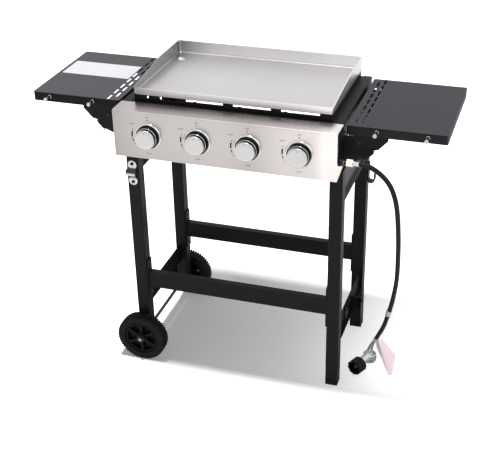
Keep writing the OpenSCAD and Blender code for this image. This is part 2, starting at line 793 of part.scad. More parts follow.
// Burners and gas train
burner_bend = [0, box_front_y + burner_neck_l, burner_z];
burner_foot = [0, burner_bend[1] + burner_fall_l, burner_low_z];
burner_end = [0, rest_y - slip, burner_low_z];
knee_over = 0.4;
module burner_run(y0, y1, r) {
  // neck from the valve, its fall and the level tube, joined by round bends
  rod([0, y0, burner_z], burner_bend, r, r);
  translate(burner_bend) sphere(r + knee_over, $fn = arc_n);
  rod(burner_bend, burner_foot, r, r);
  translate(burner_foot) sphere(r + knee_over, $fn = arc_n);
  rod(burner_foot, [0, y1, burner_low_z], r, r);
}
module burner() {
  y0 = box_front_y - burner_front;
  level_l = burner_end[1] - burner_foot[1];
  difference() {
    union() {
      burner_run(y0, burner_end[1], burner_r);
      rod(burner_end, burner_end + [0, burner_pin_l, 0], burner_pin_r, burner_pin_r);
    }
    burner_run(y0 - cut, burner_end[1] - 2 * burner_wall, burner_r - burner_wall);
    for (i = [1 : flame_slots], s = [-1, 1])
      translate(burner_foot + [0, level_l * i / (flame_slots + 1), 0]) rotate([-90, 0, 0])
        rotate([0, 0, 270 + s * 55])
          translate([burner_r - 2 * burner_wall, -burner_r * 0.35, -flame_slot_w / 2])
            cube([2 * burner_wall + cut, burner_r * 0.7, flame_slot_w]);
  }
}
module burners() {
  color("#8f8f8c") place() for (k = [-1.5 : 1.5]) translate([k * burner_pitch, 0, 0]) burner();
}
// Each igniter stands on a clip against its burner
module igniters() {
  iy = burner_foot[1] + burner_r * 2;
  color("#e6e2d8") place() for (k = [-1.5 : 1.5])
    translate([k * burner_pitch + burner_r + igniter_r + slip, iy, burner_low_z - igniter_h / 2]) {
      cylinder(h = igniter_h, r = igniter_r, $fn = arc_n);
      translate([0, 0, igniter_h]) cylinder(h = igniter_r, r = igniter_r / 3, $fn = arc_n);
      translate([-igniter_r - slip, -igniter_r, (igniter_h - igniter_r) / 2])
        cube([igniter_r, 2 * igniter_r, igniter_r]);
    }
}
module gas_manifold() {
  x0 = -1.5 * burner_pitch - valve_w;
  color("#6e6e70") place() translate([x0, -manifold_y, manifold_z]) rotate([0, 90, 0])
    difference() {
      cylinder(h = panel_x - panel_t - x0, r = manifold_r, $fn = ring_n);
      translate([0, 0, manifold_r / 4]) cylinder(h = panel_x - x0, r = manifold_r * 0.75,
        $fn = ring_n);
    }
}
module gas_valves() {
  y0 = -panel_d + panel_t;
  color("#c9a24b") place() difference() {
    for (k = [-1.5 : 1.5]) translate([k * burner_pitch, 0, 0]) {
      between([-valve_w / 2, y0, manifold_z - manifold_r / 2],
        [valve_w / 2, y0 + valve_d, burner_z + valve_up]);
      translate([0, y0 + valve_d, burner_z]) rotate([-90, 0, 0])
        cylinder(h = jet_l, r = jet_r, $fn = ring_n);
    }
    translate([0, -manifold_y, manifold_z]) rotate([0, 90, 0])
      cylinder(h = panel_w, r = manifold_r + run_fit, center = true, $fn = ring_n);
    for (k = [-1.5 : 1.5]) translate([k * burner_pitch, y0 - cut, burner_z])
      rotate([-90, 0, 0]) cylinder(h = cut + stem_in + knob_push + slip,
        r = stem_r + run_fit, $fn = ring_n);
  }
}

// Griddle plate
module griddle_plate() {
  color("#d2cfcf") place() difference() {
    union() {
      difference() {
        translate([0, griddle_mid_y, griddle_z]) linear_extrude(griddle_back_h)
          rrect(griddle_w, griddle_d, griddle_r);
        translate([0, griddle_mid_y, griddle_z + griddle_floor]) linear_extrude(griddle_back_h)
          rrect(griddle_w - 2 * griddle_wall, griddle_d - 2 * griddle_wall,
            griddle_r - griddle_wall);
        along_x(griddle_w + 2 * cut) polygon([
          [griddle_front_y - cut, griddle_z + griddle_lip_h],
          [griddle_front_y + griddle_wall, griddle_z + griddle_lip_h],
          [griddle_back_y - griddle_level_d, griddle_z + griddle_back_h],
          [griddle_back_y - griddle_level_d, griddle_z + griddle_back_h + cut],
          [griddle_front_y - cut, griddle_z + griddle_back_h + cut]]);
      }
      translate([drain_x, drain_y, griddle_z - spout_l])
        cylinder(h = spout_l + griddle_floor / 2, r = drain_r + spout_wall, $fn = ring_n);
    }
    translate([drain_x, drain_y, griddle_z - spout_l - cut])
      cylinder(h = spout_l + griddle_floor + 2 * cut, r = drain_r, $fn = ring_n);
  }
}

// Grease chute, cup rails and cup
module grease_chute() {
  y0 = drain_y - chute_w / 2;
  y1 = box_back_y + chute_out;
  xa = drain_x - chute_w / 2 + run_fit;
  xb = drain_x + chute_w / 2 - run_fit;
  zt = chute_z + chute_h - run_fit;
  color("#3b3b3d") place() {
    difference() {
      between([xa, y0, chute_z], [xb, y1, zt]);
      between([xa + chute_t, y0 + chute_t, chute_z + chute_t],
        [xb - chute_t, y1 + cut, zt + cut]);
    }
    // flange that hangs the chute from the inner face of the back wall
    difference() {
      between([xa - chute_h / 2, box_back_y - box_t - chute_t, chute_z - chute_h / 4],
        [xb + chute_h / 2, box_back_y - box_t, zt + chute_h / 4]);
      between([xa, box_back_y - box_t - 2 * chute_t, chute_z], [xb, box_back_y, zt]);
    }
  }
}
cup_rail_x = cup_w / 2 + slip;
module cup_rails() {
  z1 = cup_top + cup_lip_t + slip;
  color("#2a2a2c") place() for (sx = [-1, 1]) translate([drain_x, 0, 0]) scale([sx, 1, 1]) {
    // an angle that the cup's lip slides on, closed by a plate on the back wall
    between([cup_rail_x, box_back_y, cup_top - cup_rail_t - slip],
      [cup_rail_x + cup_lip + 2 * cup_rail_t, cup_y1 - cup_gap, cup_top - slip]);
    between([cup_rail_x + cup_lip + cup_rail_t, box_back_y, cup_top - cup_rail_t - slip],
      [cup_rail_x + cup_lip + 2 * cup_rail_t, cup_y1 - cup_gap, z1]);
    between([cup_rail_x, box_back_y, cup_top - cup_rail_h],
      [cup_rail_x + cup_lip + 2 * cup_rail_t, box_back_y + cup_rail_t, z1]);
  }
}
module grease_cup() {
  l = cup_y1 - cup_y0;
  color("#c4c4c6") place() translate([drain_x, cup_y0 + l / 2, 0]) {
    difference() {
      translate([0, 0, cup_top - cup_h]) linear_extrude(cup_h) rrect(cup_w, l, cup_r);
      translate([0, 0, cup_top - cup_h + cup_t]) linear_extrude(cup_h)
        rrect(cup_w - 2 * cup_t, l - 2 * cup_t, cup_r - cup_t);
    }
    for (sx = [-1, 1]) scale([sx, 1, 1])
      between([cup_w / 2 - cup_t, -l / 2 + cup_r, cup_top - slip / 2],
        [cup_w / 2 + cup_lip, l / 2 - cup_r, cup_top + cup_lip_t - slip / 2]);
  }
}

// Control panel, bezels, knobs and stems
module panel_profile(o) {
  // section of the folded sheet, grown inwards by o; its back edges meet the firebox
  translate([-panel_d + o, panel_z]) square([panel_d + box_front_y - o, panel_h - panel_r]);
  translate([-panel_d + panel_r, panel_z])
    square([panel_d + box_front_y - panel_r, panel_h - o]);
  translate([-panel_d + panel_r, deck_z - panel_r]) circle(panel_r - o, $fn = arc_n);
}
module control_panel() {
  color("#cfcac6") place() difference() {
    along_x(panel_w) panel_profile(0);
    difference() {
      along_x(panel_w - 2 * panel_t) translate([0, -cut]) panel_profile(panel_t);
      between([-panel_x, -panel_d, panel_z - 2 * cut],
        [panel_x, -panel_d + panel_t, deck_z + cut]);
      between([-panel_x, -panel_d, deck_z - panel_t], [panel_x, box_front_y, deck_z + cut]);
    }
    between([-panel_x + panel_t, 0, panel_z], [panel_x - panel_t, box_front_y + cut,
      deck_z - panel_t]);
    // the side returns rise towards the back
    along_x(panel_w + 2 * cut) polygon([[-panel_d + panel_t, panel_z - cut],
      [box_front_y + cut, panel_z - cut], [box_front_y + cut, panel_z + return_rise],
      [-panel_d + panel_t, panel_z]]);
    for (k = [-1.5 : 1.5]) translate([k * burner_pitch, -panel_d - cut, burner_z])
      rotate([-90, 0, 0]) cylinder(h = panel_t + 2 * cut, r = stem_r * 2, $fn = ring_n);
    translate([panel_x, -manifold_y, manifold_z]) rotate([0, 90, 0])
      cylinder(h = 2 * panel_t + 2 * cut, r = inlet_r + run_fit, center = true, $fn = ring_n);
    screw_cuts();
  }
}
module panel_end_plates() {
  color("#1b1b1d") place() difference() {
    for (sx = [-1, 1]) scale([sx, 1, 1]) translate([panel_x + end_plate_t / 2, 0, 0])
      along_x(end_plate_t) polygon([[-panel_d * 0.84, deck_z - panel_h * 0.03],
        [-panel_d * 0.84, deck_z - panel_h * 0.69], [-cut, deck_z - panel_h * 0.87],
        [-cut, deck_z - panel_h * 0.03]]);
    translate([panel_x, -manifold_y, manifold_z]) rotate([0, 90, 0])
      cylinder(h = panel_d, r = inlet_r + run_fit, center = true, $fn = ring_n);
    screw_cuts();
  }
}
module knob_bezels() {
  color("#d9d9da") place() for (k = [-1.5 : 1.5])
    translate([k * burner_pitch, -panel_d, burner_z]) rotate([90, 0, 0]) difference() {
      union() {
        cylinder(h = bezel_h / 2, r = bezel_r, $fn = ring_n);
        translate([0, 0, bezel_h / 2])
          cylinder(h = bezel_h / 2, r1 = bezel_r, r2 = bezel_r - bezel_h / 2, $fn = ring_n);
      }
      translate([0, 0, -cut]) cylinder(h = bezel_h + 2 * cut, r = bezel_in, $fn = ring_n);
    }
}
knob_gap = knob_push + slip;
stem_out = knob_out - knob_flange_h;
module knob(i) {
  back = knob_gap;
  body = knob_out - back - knob_flange_h;
  color("#c8c8ca") place() translate([(i - 2.5) * burner_pitch, -panel_d - back, burner_z])
    rotate([90, 0, 0]) difference() {
      union() {
        cylinder(h = knob_flange_h, r = knob_flange_r, $fn = ring_n);
        translate([0, 0, knob_flange_h]) cylinder(h = body * 0.85, r1 = knob_r,
          r2 = knob_face_r, $fn = ring_n);
        translate([0, 0, knob_flange_h + body * 0.85]) cylinder(h = body * 0.15,
          r1 = knob_face_r, r2 = knob_face_r - body * 0.15, $fn = ring_n);
      }
      translate([0, 0, -cut]) cylinder(h = cut + stem_out - back, r = stem_r + run_fit / 2,
        $fn = ring_n);
    }
}
module stem(i) {
  color("#8a8a8c") place() translate([(i - 2.5) * burner_pitch, -panel_d + panel_t + stem_in,
    burner_z]) rotate([90, 0, 0])
      cylinder(h = panel_t + stem_in + stem_out, r = stem_r, $fn = ring_n);
}
module knob_1() { knob(1); }
module knob_2() { knob(2); }
module knob_3() { knob(3); }
module knob_4() { knob(4); }
module stem_1() { stem(1); }
module stem_2() { stem(2); }
module stem_3() { stem(3); }
module stem_4() { stem(4); }

// Side shelves
peg_xs = [overall_l / 2 - peg_in, shelf_in_x + peg_inner_in];
module slot_row(x, y0, n) {
  for (k = [0 : n - 1]) translate([x, y0 + k * slot_pitch, deck_z - shelf_t - cut])
    linear_extrude(shelf_t + 2 * cut) {
      square([slot_w, slot_l - slot_w], center = true);
      for (s = [-1, 1]) translate([0, s * (slot_l - slot_w) / 2])
        circle(slot_w / 2, $fn = arc_n);
    }
}
module shelf() {
  mid = [shelf_in_x + shelf_w / 2, shelf_d / 2];
  color("#55545a") place() difference() {
    translate([mid[0], mid[1], deck_z - rim_h]) linear_extrude(rim_h)
      rrect(shelf_w, shelf_d, shelf_r);
    translate([mid[0], mid[1], deck_z - rim_h - cut]) linear_extrude(rim_h + cut - shelf_t)
      rrect(shelf_w - 2 * shelf_t, shelf_d - 2 * shelf_t, shelf_r - shelf_t);
    slot_row(shelf_in_x + slot_row_in, (shelf_d - (slots - 2) * slot_pitch) / 2, slots - 1);
    slot_row(shelf_in_x + slot_row_in + slot_row_gap, (shelf_d - (slots - 1) * slot_pitch) / 2,
      slots);
    for (x = peg_xs) translate([x, -cut, deck_z - peg_drop]) rotate([-90, 0, 0])
      cylinder(h = shelf_t + 2 * cut, r = peg_neck_r + run_fit, $fn = ring_n);
  }
}
module right_shelf() { shelf(); }
module left_shelf() { mirror([1, 0, 0]) shelf(); }
module blank_plate() {
  color("#f2f2f6") place() between([-overall_l / 2 + plate_in, plate_y, deck_z],
    [-shelf_in_x - plate_inner_in, plate_y + plate_d, deck_z + plate_t]);
}
module tool_pegs() {
  color("#c9c9c6") place() for (x = peg_xs)
    translate([x, 0, deck_z - peg_drop]) rotate([90, 0, 0]) {
      cylinder(h = peg_collar_t, r = peg_r, $fn = ring_n);
      translate([0, 0, -shelf_t]) cylinder(h = peg_l + shelf_t, r = peg_neck_r, $fn = ring_n);
      translate([0, 0, peg_l - peg_head_t]) cylinder(h = peg_head_t, r = peg_r, $fn = ring_n);
    }
}
module right_tool_pegs() { tool_pegs(); }
module left_tool_pegs() { mirror([1, 0, 0]) tool_pegs(); }

// Shelf arms, fixed brackets and pivots
arm_shares = [[-0.2, 1], [1, 1], [1, 0.28], [0.67, -0.32], [0.52, -0.39], [-0.11, -0.32],
  [-0.2, -0.12]];
bracket_shares = [[0, 0], [0.52, 0], [0.62, -0.12], [0.72, -0.38], [1, -0.4], [1, -0.49],
  [0.78, -0.71], [0.71, -0.69], [0.44, -0.79], [0, -1]];
arm_rise = pivot_drop - shelf_t;
module arm() {
  along_y(arm_t) difference() {
    translate([pivot_at_x, pivot_z]) polygon([for (p = arm_shares)
      [p[0] * arm_reach, p[1] * arm_rise]]);
    translate([pivot_at_x, pivot_z]) circle(pivot_r + run_fit, $fn = ring_n);
  }
}
module shelf_arms() {
  color("#232325") place() {
    translate([0, arm_y + arm_t / 2, 0]) arm();
    translate([0, shelf_d - arm_y - arm_t / 2, 0]) arm();
  }
}
module right_shelf_arms() { shelf_arms(); }
module left_shelf_arms() { mirror([1, 0, 0]) shelf_arms(); }
flange_screw_y = [bracket_y + bracket_flange * 0.6, shelf_d - bracket_y - bracket_flange * 0.6];
module fixed_bracket() {
  top = deck_z - bracket_drop;
  translate([0, bracket_y + bracket_t / 2, 0]) along_y(bracket_t) difference() {
    polygon([for (p = bracket_shares)
      [box_x + p[0] * bracket_reach, top + p[1] * bracket_h]]);
    translate([pivot_at_x, pivot_z]) circle(pivot_r, $fn = ring_n);
  }
  difference() {
    between([box_x, bracket_y, top - bracket_h], [box_x + bracket_t, bracket_y
      + bracket_flange, top]);
    translate([box_x, flange_screw_y[0], pivot_z - pivot_drop / 2]) rotate([0, 90, 0])
      cylinder(h = 2 * bracket_t + 2 * cut, r = screw_r + run_fit, center = true,
        $fn = ring_n);
  }
}
module brackets() {
  color("#1d1d1f") place() {
    fixed_bracket();
    translate([0, shelf_d, 0]) mirror([0, 1, 0]) fixed_bracket();
  }
}
module right_brackets() { brackets(); }
module left_brackets() { mirror([1, 0, 0]) brackets(); }
module pivots() {
  l = arm_t + slip + bracket_t;
  color("#9b9b9d") place() {
    for (m = [0, 1]) translate([0, m * shelf_d, 0]) mirror([0, m, 0]) {
      translate([pivot_at_x, arm_y, pivot_z]) rotate([-90, 0, 0])
        cylinder(h = l, r = pivot_r, $fn = ring_n);
      translate([pivot_at_x, arm_y - slip - pivot_head_t, pivot_z]) rotate([-90, 0, 0])
        cylinder(h = pivot_head_t, r = pivot_head_r, $fn = ring_n);
      translate([pivot_at_x, arm_y - slip, pivot_z]) rotate([-90, 0, 0])
        cylinder(h = slip, r = pivot_r, $fn = ring_n);
      translate([pivot_at_x, arm_y + l, pivot_z]) rotate([-90, 0, 0])
        cylinder(h = pivot_head_t, r = pivot_head_r, $fn = ring_n);
      // the screw that holds the bracket's flange to the firebox
      translate([box_x - screw_r, flange_screw_y[0], pivot_z - pivot_drop / 2])
        rotate([0, 90, 0]) cylinder(h = screw_r + bracket_t, r = screw_r, $fn = ring_n);
      translate([box_x + bracket_t, flange_screw_y[0], pivot_z - pivot_drop / 2])
        rotate([0, 90, 0]) cylinder(h = screw_head_h, r = screw_head_r, $fn = ring_n);
    }
  }
}
module right_pivots() { pivots(); }
module left_pivots() { mirror([1, 0, 0]) pivots(); }

// Bottle opener, bottle hook and bottle cradle
module bottle_opener() {
  y1 = leg_front_y - leg_d / 2;
  lip_y = y1 - opener_out;
  z1 = opener_z + opener_hood;
  r = opener_w / 2;
  color("#cfcfd0") place() difference() {
    union() {
      // plate with a round end at the top and at the foot
      translate([-leg_x, y1 - opener_t / 2, opener_z]) along_y(opener_t) {
        square([opener_w * 0.62, opener_h - 2 * r], center = true);
        translate([0, opener_h / 2 - r]) circle(r, $fn = ring_n);
        translate([0, r - opener_h / 2]) circle(r, $fn = ring_n);
      }
      // hood that slopes down from the plate to a lip, wider at the lip's left end
      intersection() {
        along_x(2 * leg_out_x) polygon([[y1 - opener_t, z1], [lip_y, opener_z],
          [lip_y, opener_z - 2 * opener_t], [lip_y + opener_t, opener_z - 2 * opener_t],
          [lip_y + opener_t, opener_z - opener_t], [y1 - opener_t, z1 - 1.4 * opener_t]]);
        translate([-leg_x, 0, opener_z - opener_h / 2]) linear_extrude(opener_h) polygon([
          [-r, y1], [-r - opener_tongue, lip_y], [r * 0.8, lip_y], [r * 0.92, y1]]);
      }
    }
    screw_cuts();
  }
}
module bottle_hook() {
  z0 = hook_z - hook_h / 2;
  r = hook_reach / 2;
  color("#1d1d1f") place() difference() {
    translate([leg_out_x, leg_rear_y, z0]) along_y(hook_w) {
      translate([0, r]) square([hook_t, 2 * hook_h - r]);
      translate([hook_reach - hook_t, r]) square([hook_t, hook_h - r]);
      translate([r, r]) difference() {
        circle(r, $fn = ring_n);
        circle(r - hook_t, $fn = ring_n);
        translate([-hook_reach, 0]) square(2 * hook_reach);
      }
    }
    screw_cuts();
  }
}
module bottle_cradle() {
  z0 = lower_side_z + side_t;
  x1 = side_x + cradle_t;
  arc_x = side_x + cradle_reach - cradle_r;
  color("#151516") place() difference() {
    translate([0, 0, z0]) linear_extrude(cradle_h) {
      translate([side_x, cradle_y - cradle_base]) square([cradle_t, cradle_base + cradle_t]);
      translate([side_x, cradle_y]) square([arc_x - side_x, cradle_t]);
      // quarter turn towards the front
      translate([arc_x, cradle_y + cradle_t - cradle_r]) intersection() {
        difference() {
          circle(cradle_r, $fn = ring_n);
          circle(cradle_r - cradle_t, $fn = ring_n);
        }
        square(cradle_r + cut);
      }
      translate([side_x + cradle_reach - cradle_t, cradle_y + cradle_t - 2 * cradle_r])
        square([cradle_t, cradle_r]);
    }
    screw_cuts();
  }
}
module frame_screws() { color("#8e8e90") place() for (s = all_screws) screw(s); }

// Gas inlet, hose and regulator
module gas_inlet() {
  color("#c6c6c8") place() translate([0, -manifold_y, manifold_z]) {
    translate([panel_x - panel_t, 0, 0]) rotate([0, 90, 0])
      cylinder(h = nut_x - panel_x + panel_t, r = inlet_r, $fn = ring_n);
    translate([outer_x, 0, 0]) rotate([0, 90, 0])
      cylinder(h = inlet_r, r = inlet_r * 1.4, $fn = ring_n);
  }
}
module hose_nut() {
  color("#b9a25a") place() translate([nut_x, -manifold_y, manifold_z]) hex(nut_af, nut_l);
}
function unit(v) = v / norm(v);
function spline(a, b, c, d, t) = 0.5 * ((2 * b) + (c - a) * t
  + (2 * a - 5 * b + 4 * c - d) * t * t + (3 * b - a - 3 * c + d) * t * t * t);
hose_n = len(hose_route) - 1;
hose_pad = concat([hose_route[0] - norm(hose_route[1] - hose_route[0]) * hose_exit],
  hose_route, [hose_route[hose_n] + norm(hose_route[hose_n] - hose_route[hose_n - 1])
    * unit(hose_end_dir)]);
hose_path = concat([for (i = [1 : hose_n], k = [0 : hose_steps - 1])
  spline(hose_pad[i - 1], hose_pad[i], hose_pad[i + 1], hose_pad[i + 2], k / hose_steps)],
  [hose_route[hose_n]]);
hose_m = len(hose_path) - 1;
function way(i) = i == 0 ? hose_exit : i == hose_m ? unit(hose_end_dir)
  : unit(hose_path[i + 1] - hose_path[i - 1]);
function ring_at(i) = let (t = way(i), n = unit([0, 1, 0] - t[1] * t), b = cross(t, n))
  [for (k = [0 : hose_sides - 1]) hose_path[i] + hose_r * (cos(k * 360 / hose_sides) * n
    + sin(k * 360 / hose_sides) * b)];
module gas_hose() {
  color("#1c1c1e") place() polyhedron(
    points = [for (i = [0 : hose_m]) each ring_at(i)],
    faces = concat(
      [[for (k = [0 : hose_sides - 1]) k]],
      [for (i = [0 : hose_m - 1], k = [0 : hose_sides - 1])
        let (a = i * hose_sides + k, b = i * hose_sides + (k + 1) % hose_sides)
          each [[a, a + hose_sides, b + hose_sides], [a, b + hose_sides, b]]],
      [[for (k = [hose_sides - 1 : -1 : 0]) hose_m * hose_sides + k]]));
}
hose_foot = hose_route[hose_n] + crimp_l * unit(hose_end_dir);
module hose_crimps() {
  c = collar_seg * hose_steps;
  color("#d4d4d2") place() {
    translate([nut_x + nut_l, -manifold_y, manifold_z]) rotate([0, 90, 0])
      cylinder(h = crimp_l, r = crimp_r, $fn = ring_n);
    rod(hose_route[hose_n], hose_foot, crimp_r, crimp_r);
    // pale sleeve round the hose above its end
    difference() {
      rod(hose_path[c] - collar_half * way(c), hose_path[c] + collar_half * way(c),
        hose_r + collar_wall, hose_r + collar_wall);
      rod(hose_path[c] - (collar_half + cut) * way(c), hose_path[c] + (collar_half + cut)
        * way(c), hose_r + slip, hose_r + slip);
    }
  }
}
reg_z = coupling_r;
coupling_x = reg_r + coupling_neck;
reg_pipe_l = coupling_x + coupling_l * 0.5;
module regulator_place() { translate(reg_at) rotate([0, 0, reg_turn]) children(); }
// a place on the cart seen from the regulator's own frame
function from_reg(w) = [w[0] * cos(reg_turn) + w[1] * sin(reg_turn),
  w[1] * cos(reg_turn) - w[0] * sin(reg_turn), w[2]];
module regulator() {
  foot = from_reg(hose_foot - reg_at);
  knee = from_reg(hose_foot + crimp_r * unit(hose_end_dir) - reg_at);
  elbow = [-reg_r * 1.25, 0, reg_lift + reg_h * 0.6];
  color("#a9a9ab") place() regulator_place() {
    translate([0, 0, reg_lift]) cylinder(h = reg_h, r = reg_r, $fn = ring_n);
    translate([0, 0, reg_lift + (reg_h - reg_seam_h) / 2])
      cylinder(h = reg_seam_h, r = reg_r + reg_seam, $fn = ring_n);
    translate([0, 0, reg_lift + reg_h]) cylinder(h = reg_cap_h, r1 = reg_cap_r,
      r2 = reg_cap_r * 0.8, $fn = ring_n);
    rod([0, 0, reg_z], [coupling_x - slip, 0, reg_z], neck_r, neck_r);
    rod([0, 0, reg_z], [reg_pipe_l, 0, reg_z], reg_pipe_r, reg_pipe_r);
    rod([reg_pipe_l, 0, reg_z], [coupling_x + coupling_l * 0.95, 0, reg_z], nose_r,
      nose_r * 0.6);
    rod([0, 0, elbow[2]], elbow, reg_pipe_r, reg_pipe_r);
    translate(elbow) sphere(reg_pipe_r * 1.15, $fn = ring_n);
    rod(elbow, knee, reg_pipe_r * 0.9, reg_pipe_r * 0.7);
    translate(knee) sphere(reg_pipe_r * 0.75, $fn = ring_n);
    rod(knee, foot, crimp_r * 0.7, crimp_r * 0.7);
  }
}
module coupling_nut() {
  color("#141415") place() regulator_place() translate([coupling_x, 0, reg_z])
    rotate([0, 90, 0])
    difference() {
      cylinder(h = coupling_l, r = coupling_r, $fn = ring_n);
      translate([0, 0, -cut]) cylinder(h = coupling_l + 2 * cut, r = reg_pipe_r + run_fit,
        $fn = ring_n);
      translate([0, 0, coupling_l * 0.35])
        cylinder(h = coupling_l, r = coupling_r * 0.72, $fn = ring_n);
      for (i = [0 : coupling_grips - 1]) rotate([0, 0, (i + 0.5) * 360 / coupling_grips])
        translate([coupling_r + grip_r * 0.4, 0, coupling_l * 0.25])
          cylinder(h = coupling_l, r = grip_r, $fn = arc_n);
    }
}
// A blank tag tied round the lower crimp, its lower end resting on the ground
module hose_tag() {
  d = unit(hose_end_dir);
  mid = hose_foot - crimp_l * 0.4 * d;
  side = unit([1, 0, 0] - d[0] * d);
  up = mid + (crimp_r + 3 * tag_t) * side - tag_rest;
  turn = atan2(up[1], up[0]);
  lean = acos(up[2] / norm(up));
  top = tag_rest + tag_l * unit(up);
  color("#efe4e6") place() {
    difference() {
      union() {
        translate(tag_rest + [0, 0, tag_t]) rotate([0, lean, turn])
          along_x(tag_t) polygon([[-tag_w * tag_end, 0], [tag_w * tag_end, 0],
            [tag_w / 2, tag_l * 0.4], [tag_w * tag_end, tag_l], [-tag_w * tag_end, tag_l],
            [-tag_w / 2, tag_l * 0.6]]);
        rod(top, mid + (crimp_r + tag_t) * side, tag_t, tag_t);
        rod(mid - tag_t * d, mid + tag_t * d, crimp_r + 2 * tag_t, crimp_r + 2 * tag_t);
      }
      rod(mid - 3 * tag_t * d, mid + 3 * tag_t * d, crimp_r + run_fit, crimp_r + run_fit);
    }
  }
}

leg_front_left();
leg_front_right();
leg_rear_left();
leg_rear_right();
leg_caps();
front_rail();
rear_rail();
upper_side_left();
upper_side_right();
lower_side_left();
lower_side_right();
wheel_axle();
axle_hardware();
front_wheel_hub();
front_tyre();
rear_wheel_hub();
rear_tyre();
firebox();
burners();
igniters();
gas_manifold();
gas_valves();
griddle_plate();
grease_chute();
cup_rails();
grease_cup();
control_panel();
panel_end_plates();
knob_bezels();
knob_1();
knob_2();
knob_3();
knob_4();
stem_1();
stem_2();
stem_3();
stem_4();
left_shelf();
right_shelf();
left_shelf_arms();
right_shelf_arms();
left_brackets();
right_brackets();
left_pivots();
right_pivots();
left_tool_pegs();
right_tool_pegs();
blank_plate();
bottle_opener();
bottle_hook();
bottle_cradle();
frame_screws();
gas_inlet();
hose_nut();
hose_crimps();
gas_hose();
regulator();
coupling_nut();
hose_tag();
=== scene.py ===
# Outdoor gas griddle station: a griddle plate over a four-burner firebox, on a
# steel cart with two wheels, two drop-down shelves and a hose with its regulator.
# Metres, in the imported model's frame: +Z up, the knobs face -Y.
import json
import math

import bmesh
import bpy
import numpy as np
from mathutils import Matrix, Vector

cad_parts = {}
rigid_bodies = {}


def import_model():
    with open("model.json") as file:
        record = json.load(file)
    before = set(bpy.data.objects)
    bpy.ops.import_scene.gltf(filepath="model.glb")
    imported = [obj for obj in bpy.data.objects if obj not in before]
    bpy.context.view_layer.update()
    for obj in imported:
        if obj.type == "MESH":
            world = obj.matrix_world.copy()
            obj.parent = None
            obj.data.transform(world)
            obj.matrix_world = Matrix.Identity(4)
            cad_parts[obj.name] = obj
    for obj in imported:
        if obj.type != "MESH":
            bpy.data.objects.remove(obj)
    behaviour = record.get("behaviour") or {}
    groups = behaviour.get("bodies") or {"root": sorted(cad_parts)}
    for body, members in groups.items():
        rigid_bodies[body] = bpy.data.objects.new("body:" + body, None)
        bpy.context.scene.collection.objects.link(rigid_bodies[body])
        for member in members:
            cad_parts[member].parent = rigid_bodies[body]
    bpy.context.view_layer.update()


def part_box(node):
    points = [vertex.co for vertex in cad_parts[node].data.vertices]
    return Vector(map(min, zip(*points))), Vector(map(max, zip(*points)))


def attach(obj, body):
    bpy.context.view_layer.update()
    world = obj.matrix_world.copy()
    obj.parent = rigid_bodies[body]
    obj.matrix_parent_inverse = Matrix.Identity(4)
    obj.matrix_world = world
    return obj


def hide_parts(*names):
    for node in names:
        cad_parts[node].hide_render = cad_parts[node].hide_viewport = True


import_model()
nodes = bpy.data.objects
mm = 0.001
shelf_front = 207.0


def metres(points):
    """Places in metres from millimetres, whose y is counted from the shelves' front edge."""
    return (np.asarray(points, float) - [0, shelf_front, 0]) * mm


def place(x, y, z):
    """One place in metres."""
    return metres((x, y, z))


# Camera
# The photograph's own view: from the front right, a little above the shelves,
# with a lens of about 75 mm on a 36 mm sensor.
yaw, pitch, roll = 0.321, 0.511, -0.020
camera_at = place(846.0, -2392.0, 1874.5)
focal_pixels, frame_pixels, sensor = 1047.67, 500, 36
ahead = np.array([-math.sin(yaw) * math.cos(pitch), math.cos(yaw) * math.cos(pitch),
                  -math.sin(pitch)])
right = np.array([math.cos(yaw), math.sin(yaw), 0.0])
above = np.cross(right, ahead)
cam_x = math.cos(roll) * right + math.sin(roll) * above
cam_y = -math.sin(roll) * right + math.cos(roll) * above
lens = bpy.data.cameras.new("camera")
lens.lens = focal_pixels / frame_pixels * sensor
lens.sensor_width = sensor
lens.sensor_fit = "HORIZONTAL"
lens.clip_end = 100
camera = bpy.data.objects.new("camera", lens)
bpy.context.scene.collection.objects.link(camera)
turn = Matrix.Identity(4)
for row in range(3):
    turn[row][0], turn[row][1] = float(cam_x[row]), float(cam_y[row])
    turn[row][2] = -float(ahead[row])
    turn[row][3] = float(camera_at[row])
camera.matrix_world = turn
bpy.context.scene.camera = camera

# Gas hose
# A black rubber hose, 13 mm over its cover, leaves the brass nut sideways, hangs
# in one long bow and comes down to the regulator on the ground. It is extruded
# rubber over braid, crimped at both ends.
hose_route = np.array([
    [357, -35, 735], [382, -35, 731], [410, -35, 715], [434, -35, 690], [449, -32, 656],
    [458, -27, 611], [462, -12, 536], [461, 12, 454], [456, 42, 363], [443, 75, 276],
    [430, 100, 216], [412, 130, 146], [387, 165, 77]], float)
hose_end_way = np.array([-4.0, 5.0, -11.0])
hose_end_way /= np.linalg.norm(hose_end_way)
hose_radius = 6.5
hose_steps = 14


def new_piece(name, points, faces, smooth=True):
    """A mesh object at the origin from an (n, 3) array in metres and a list of faces."""
    mesh = bpy.data.meshes.new(name)
    mesh.from_pydata([tuple(p) for p in np.asarray(points, float)], [], faces)
    mesh.validate()
    mesh.polygons.foreach_set("use_smooth", [smooth] * len(mesh.polygons))
    mesh.update()
    piece = bpy.data.objects.new(name, mesh)
    bpy.context.scene.collection.objects.link(piece)
    return piece


def grid_faces(nu, nv, wrap_u=False, wrap_v=False):
    """Quads over an nu by nv grid of points stored row by row; a wrapped way closes on itself."""
    iu = np.arange(nu if wrap_u else nu - 1)
    iv = np.arange(nv if wrap_v else nv - 1)
    a, b = np.meshgrid(iu, iv, indexing="ij")
    c, d = (a + 1) % nu, (b + 1) % nv
    return np.stack([a * nv + b, c * nv + b, c * nv + d, a * nv + d], -1).reshape(-1, 4).tolist()


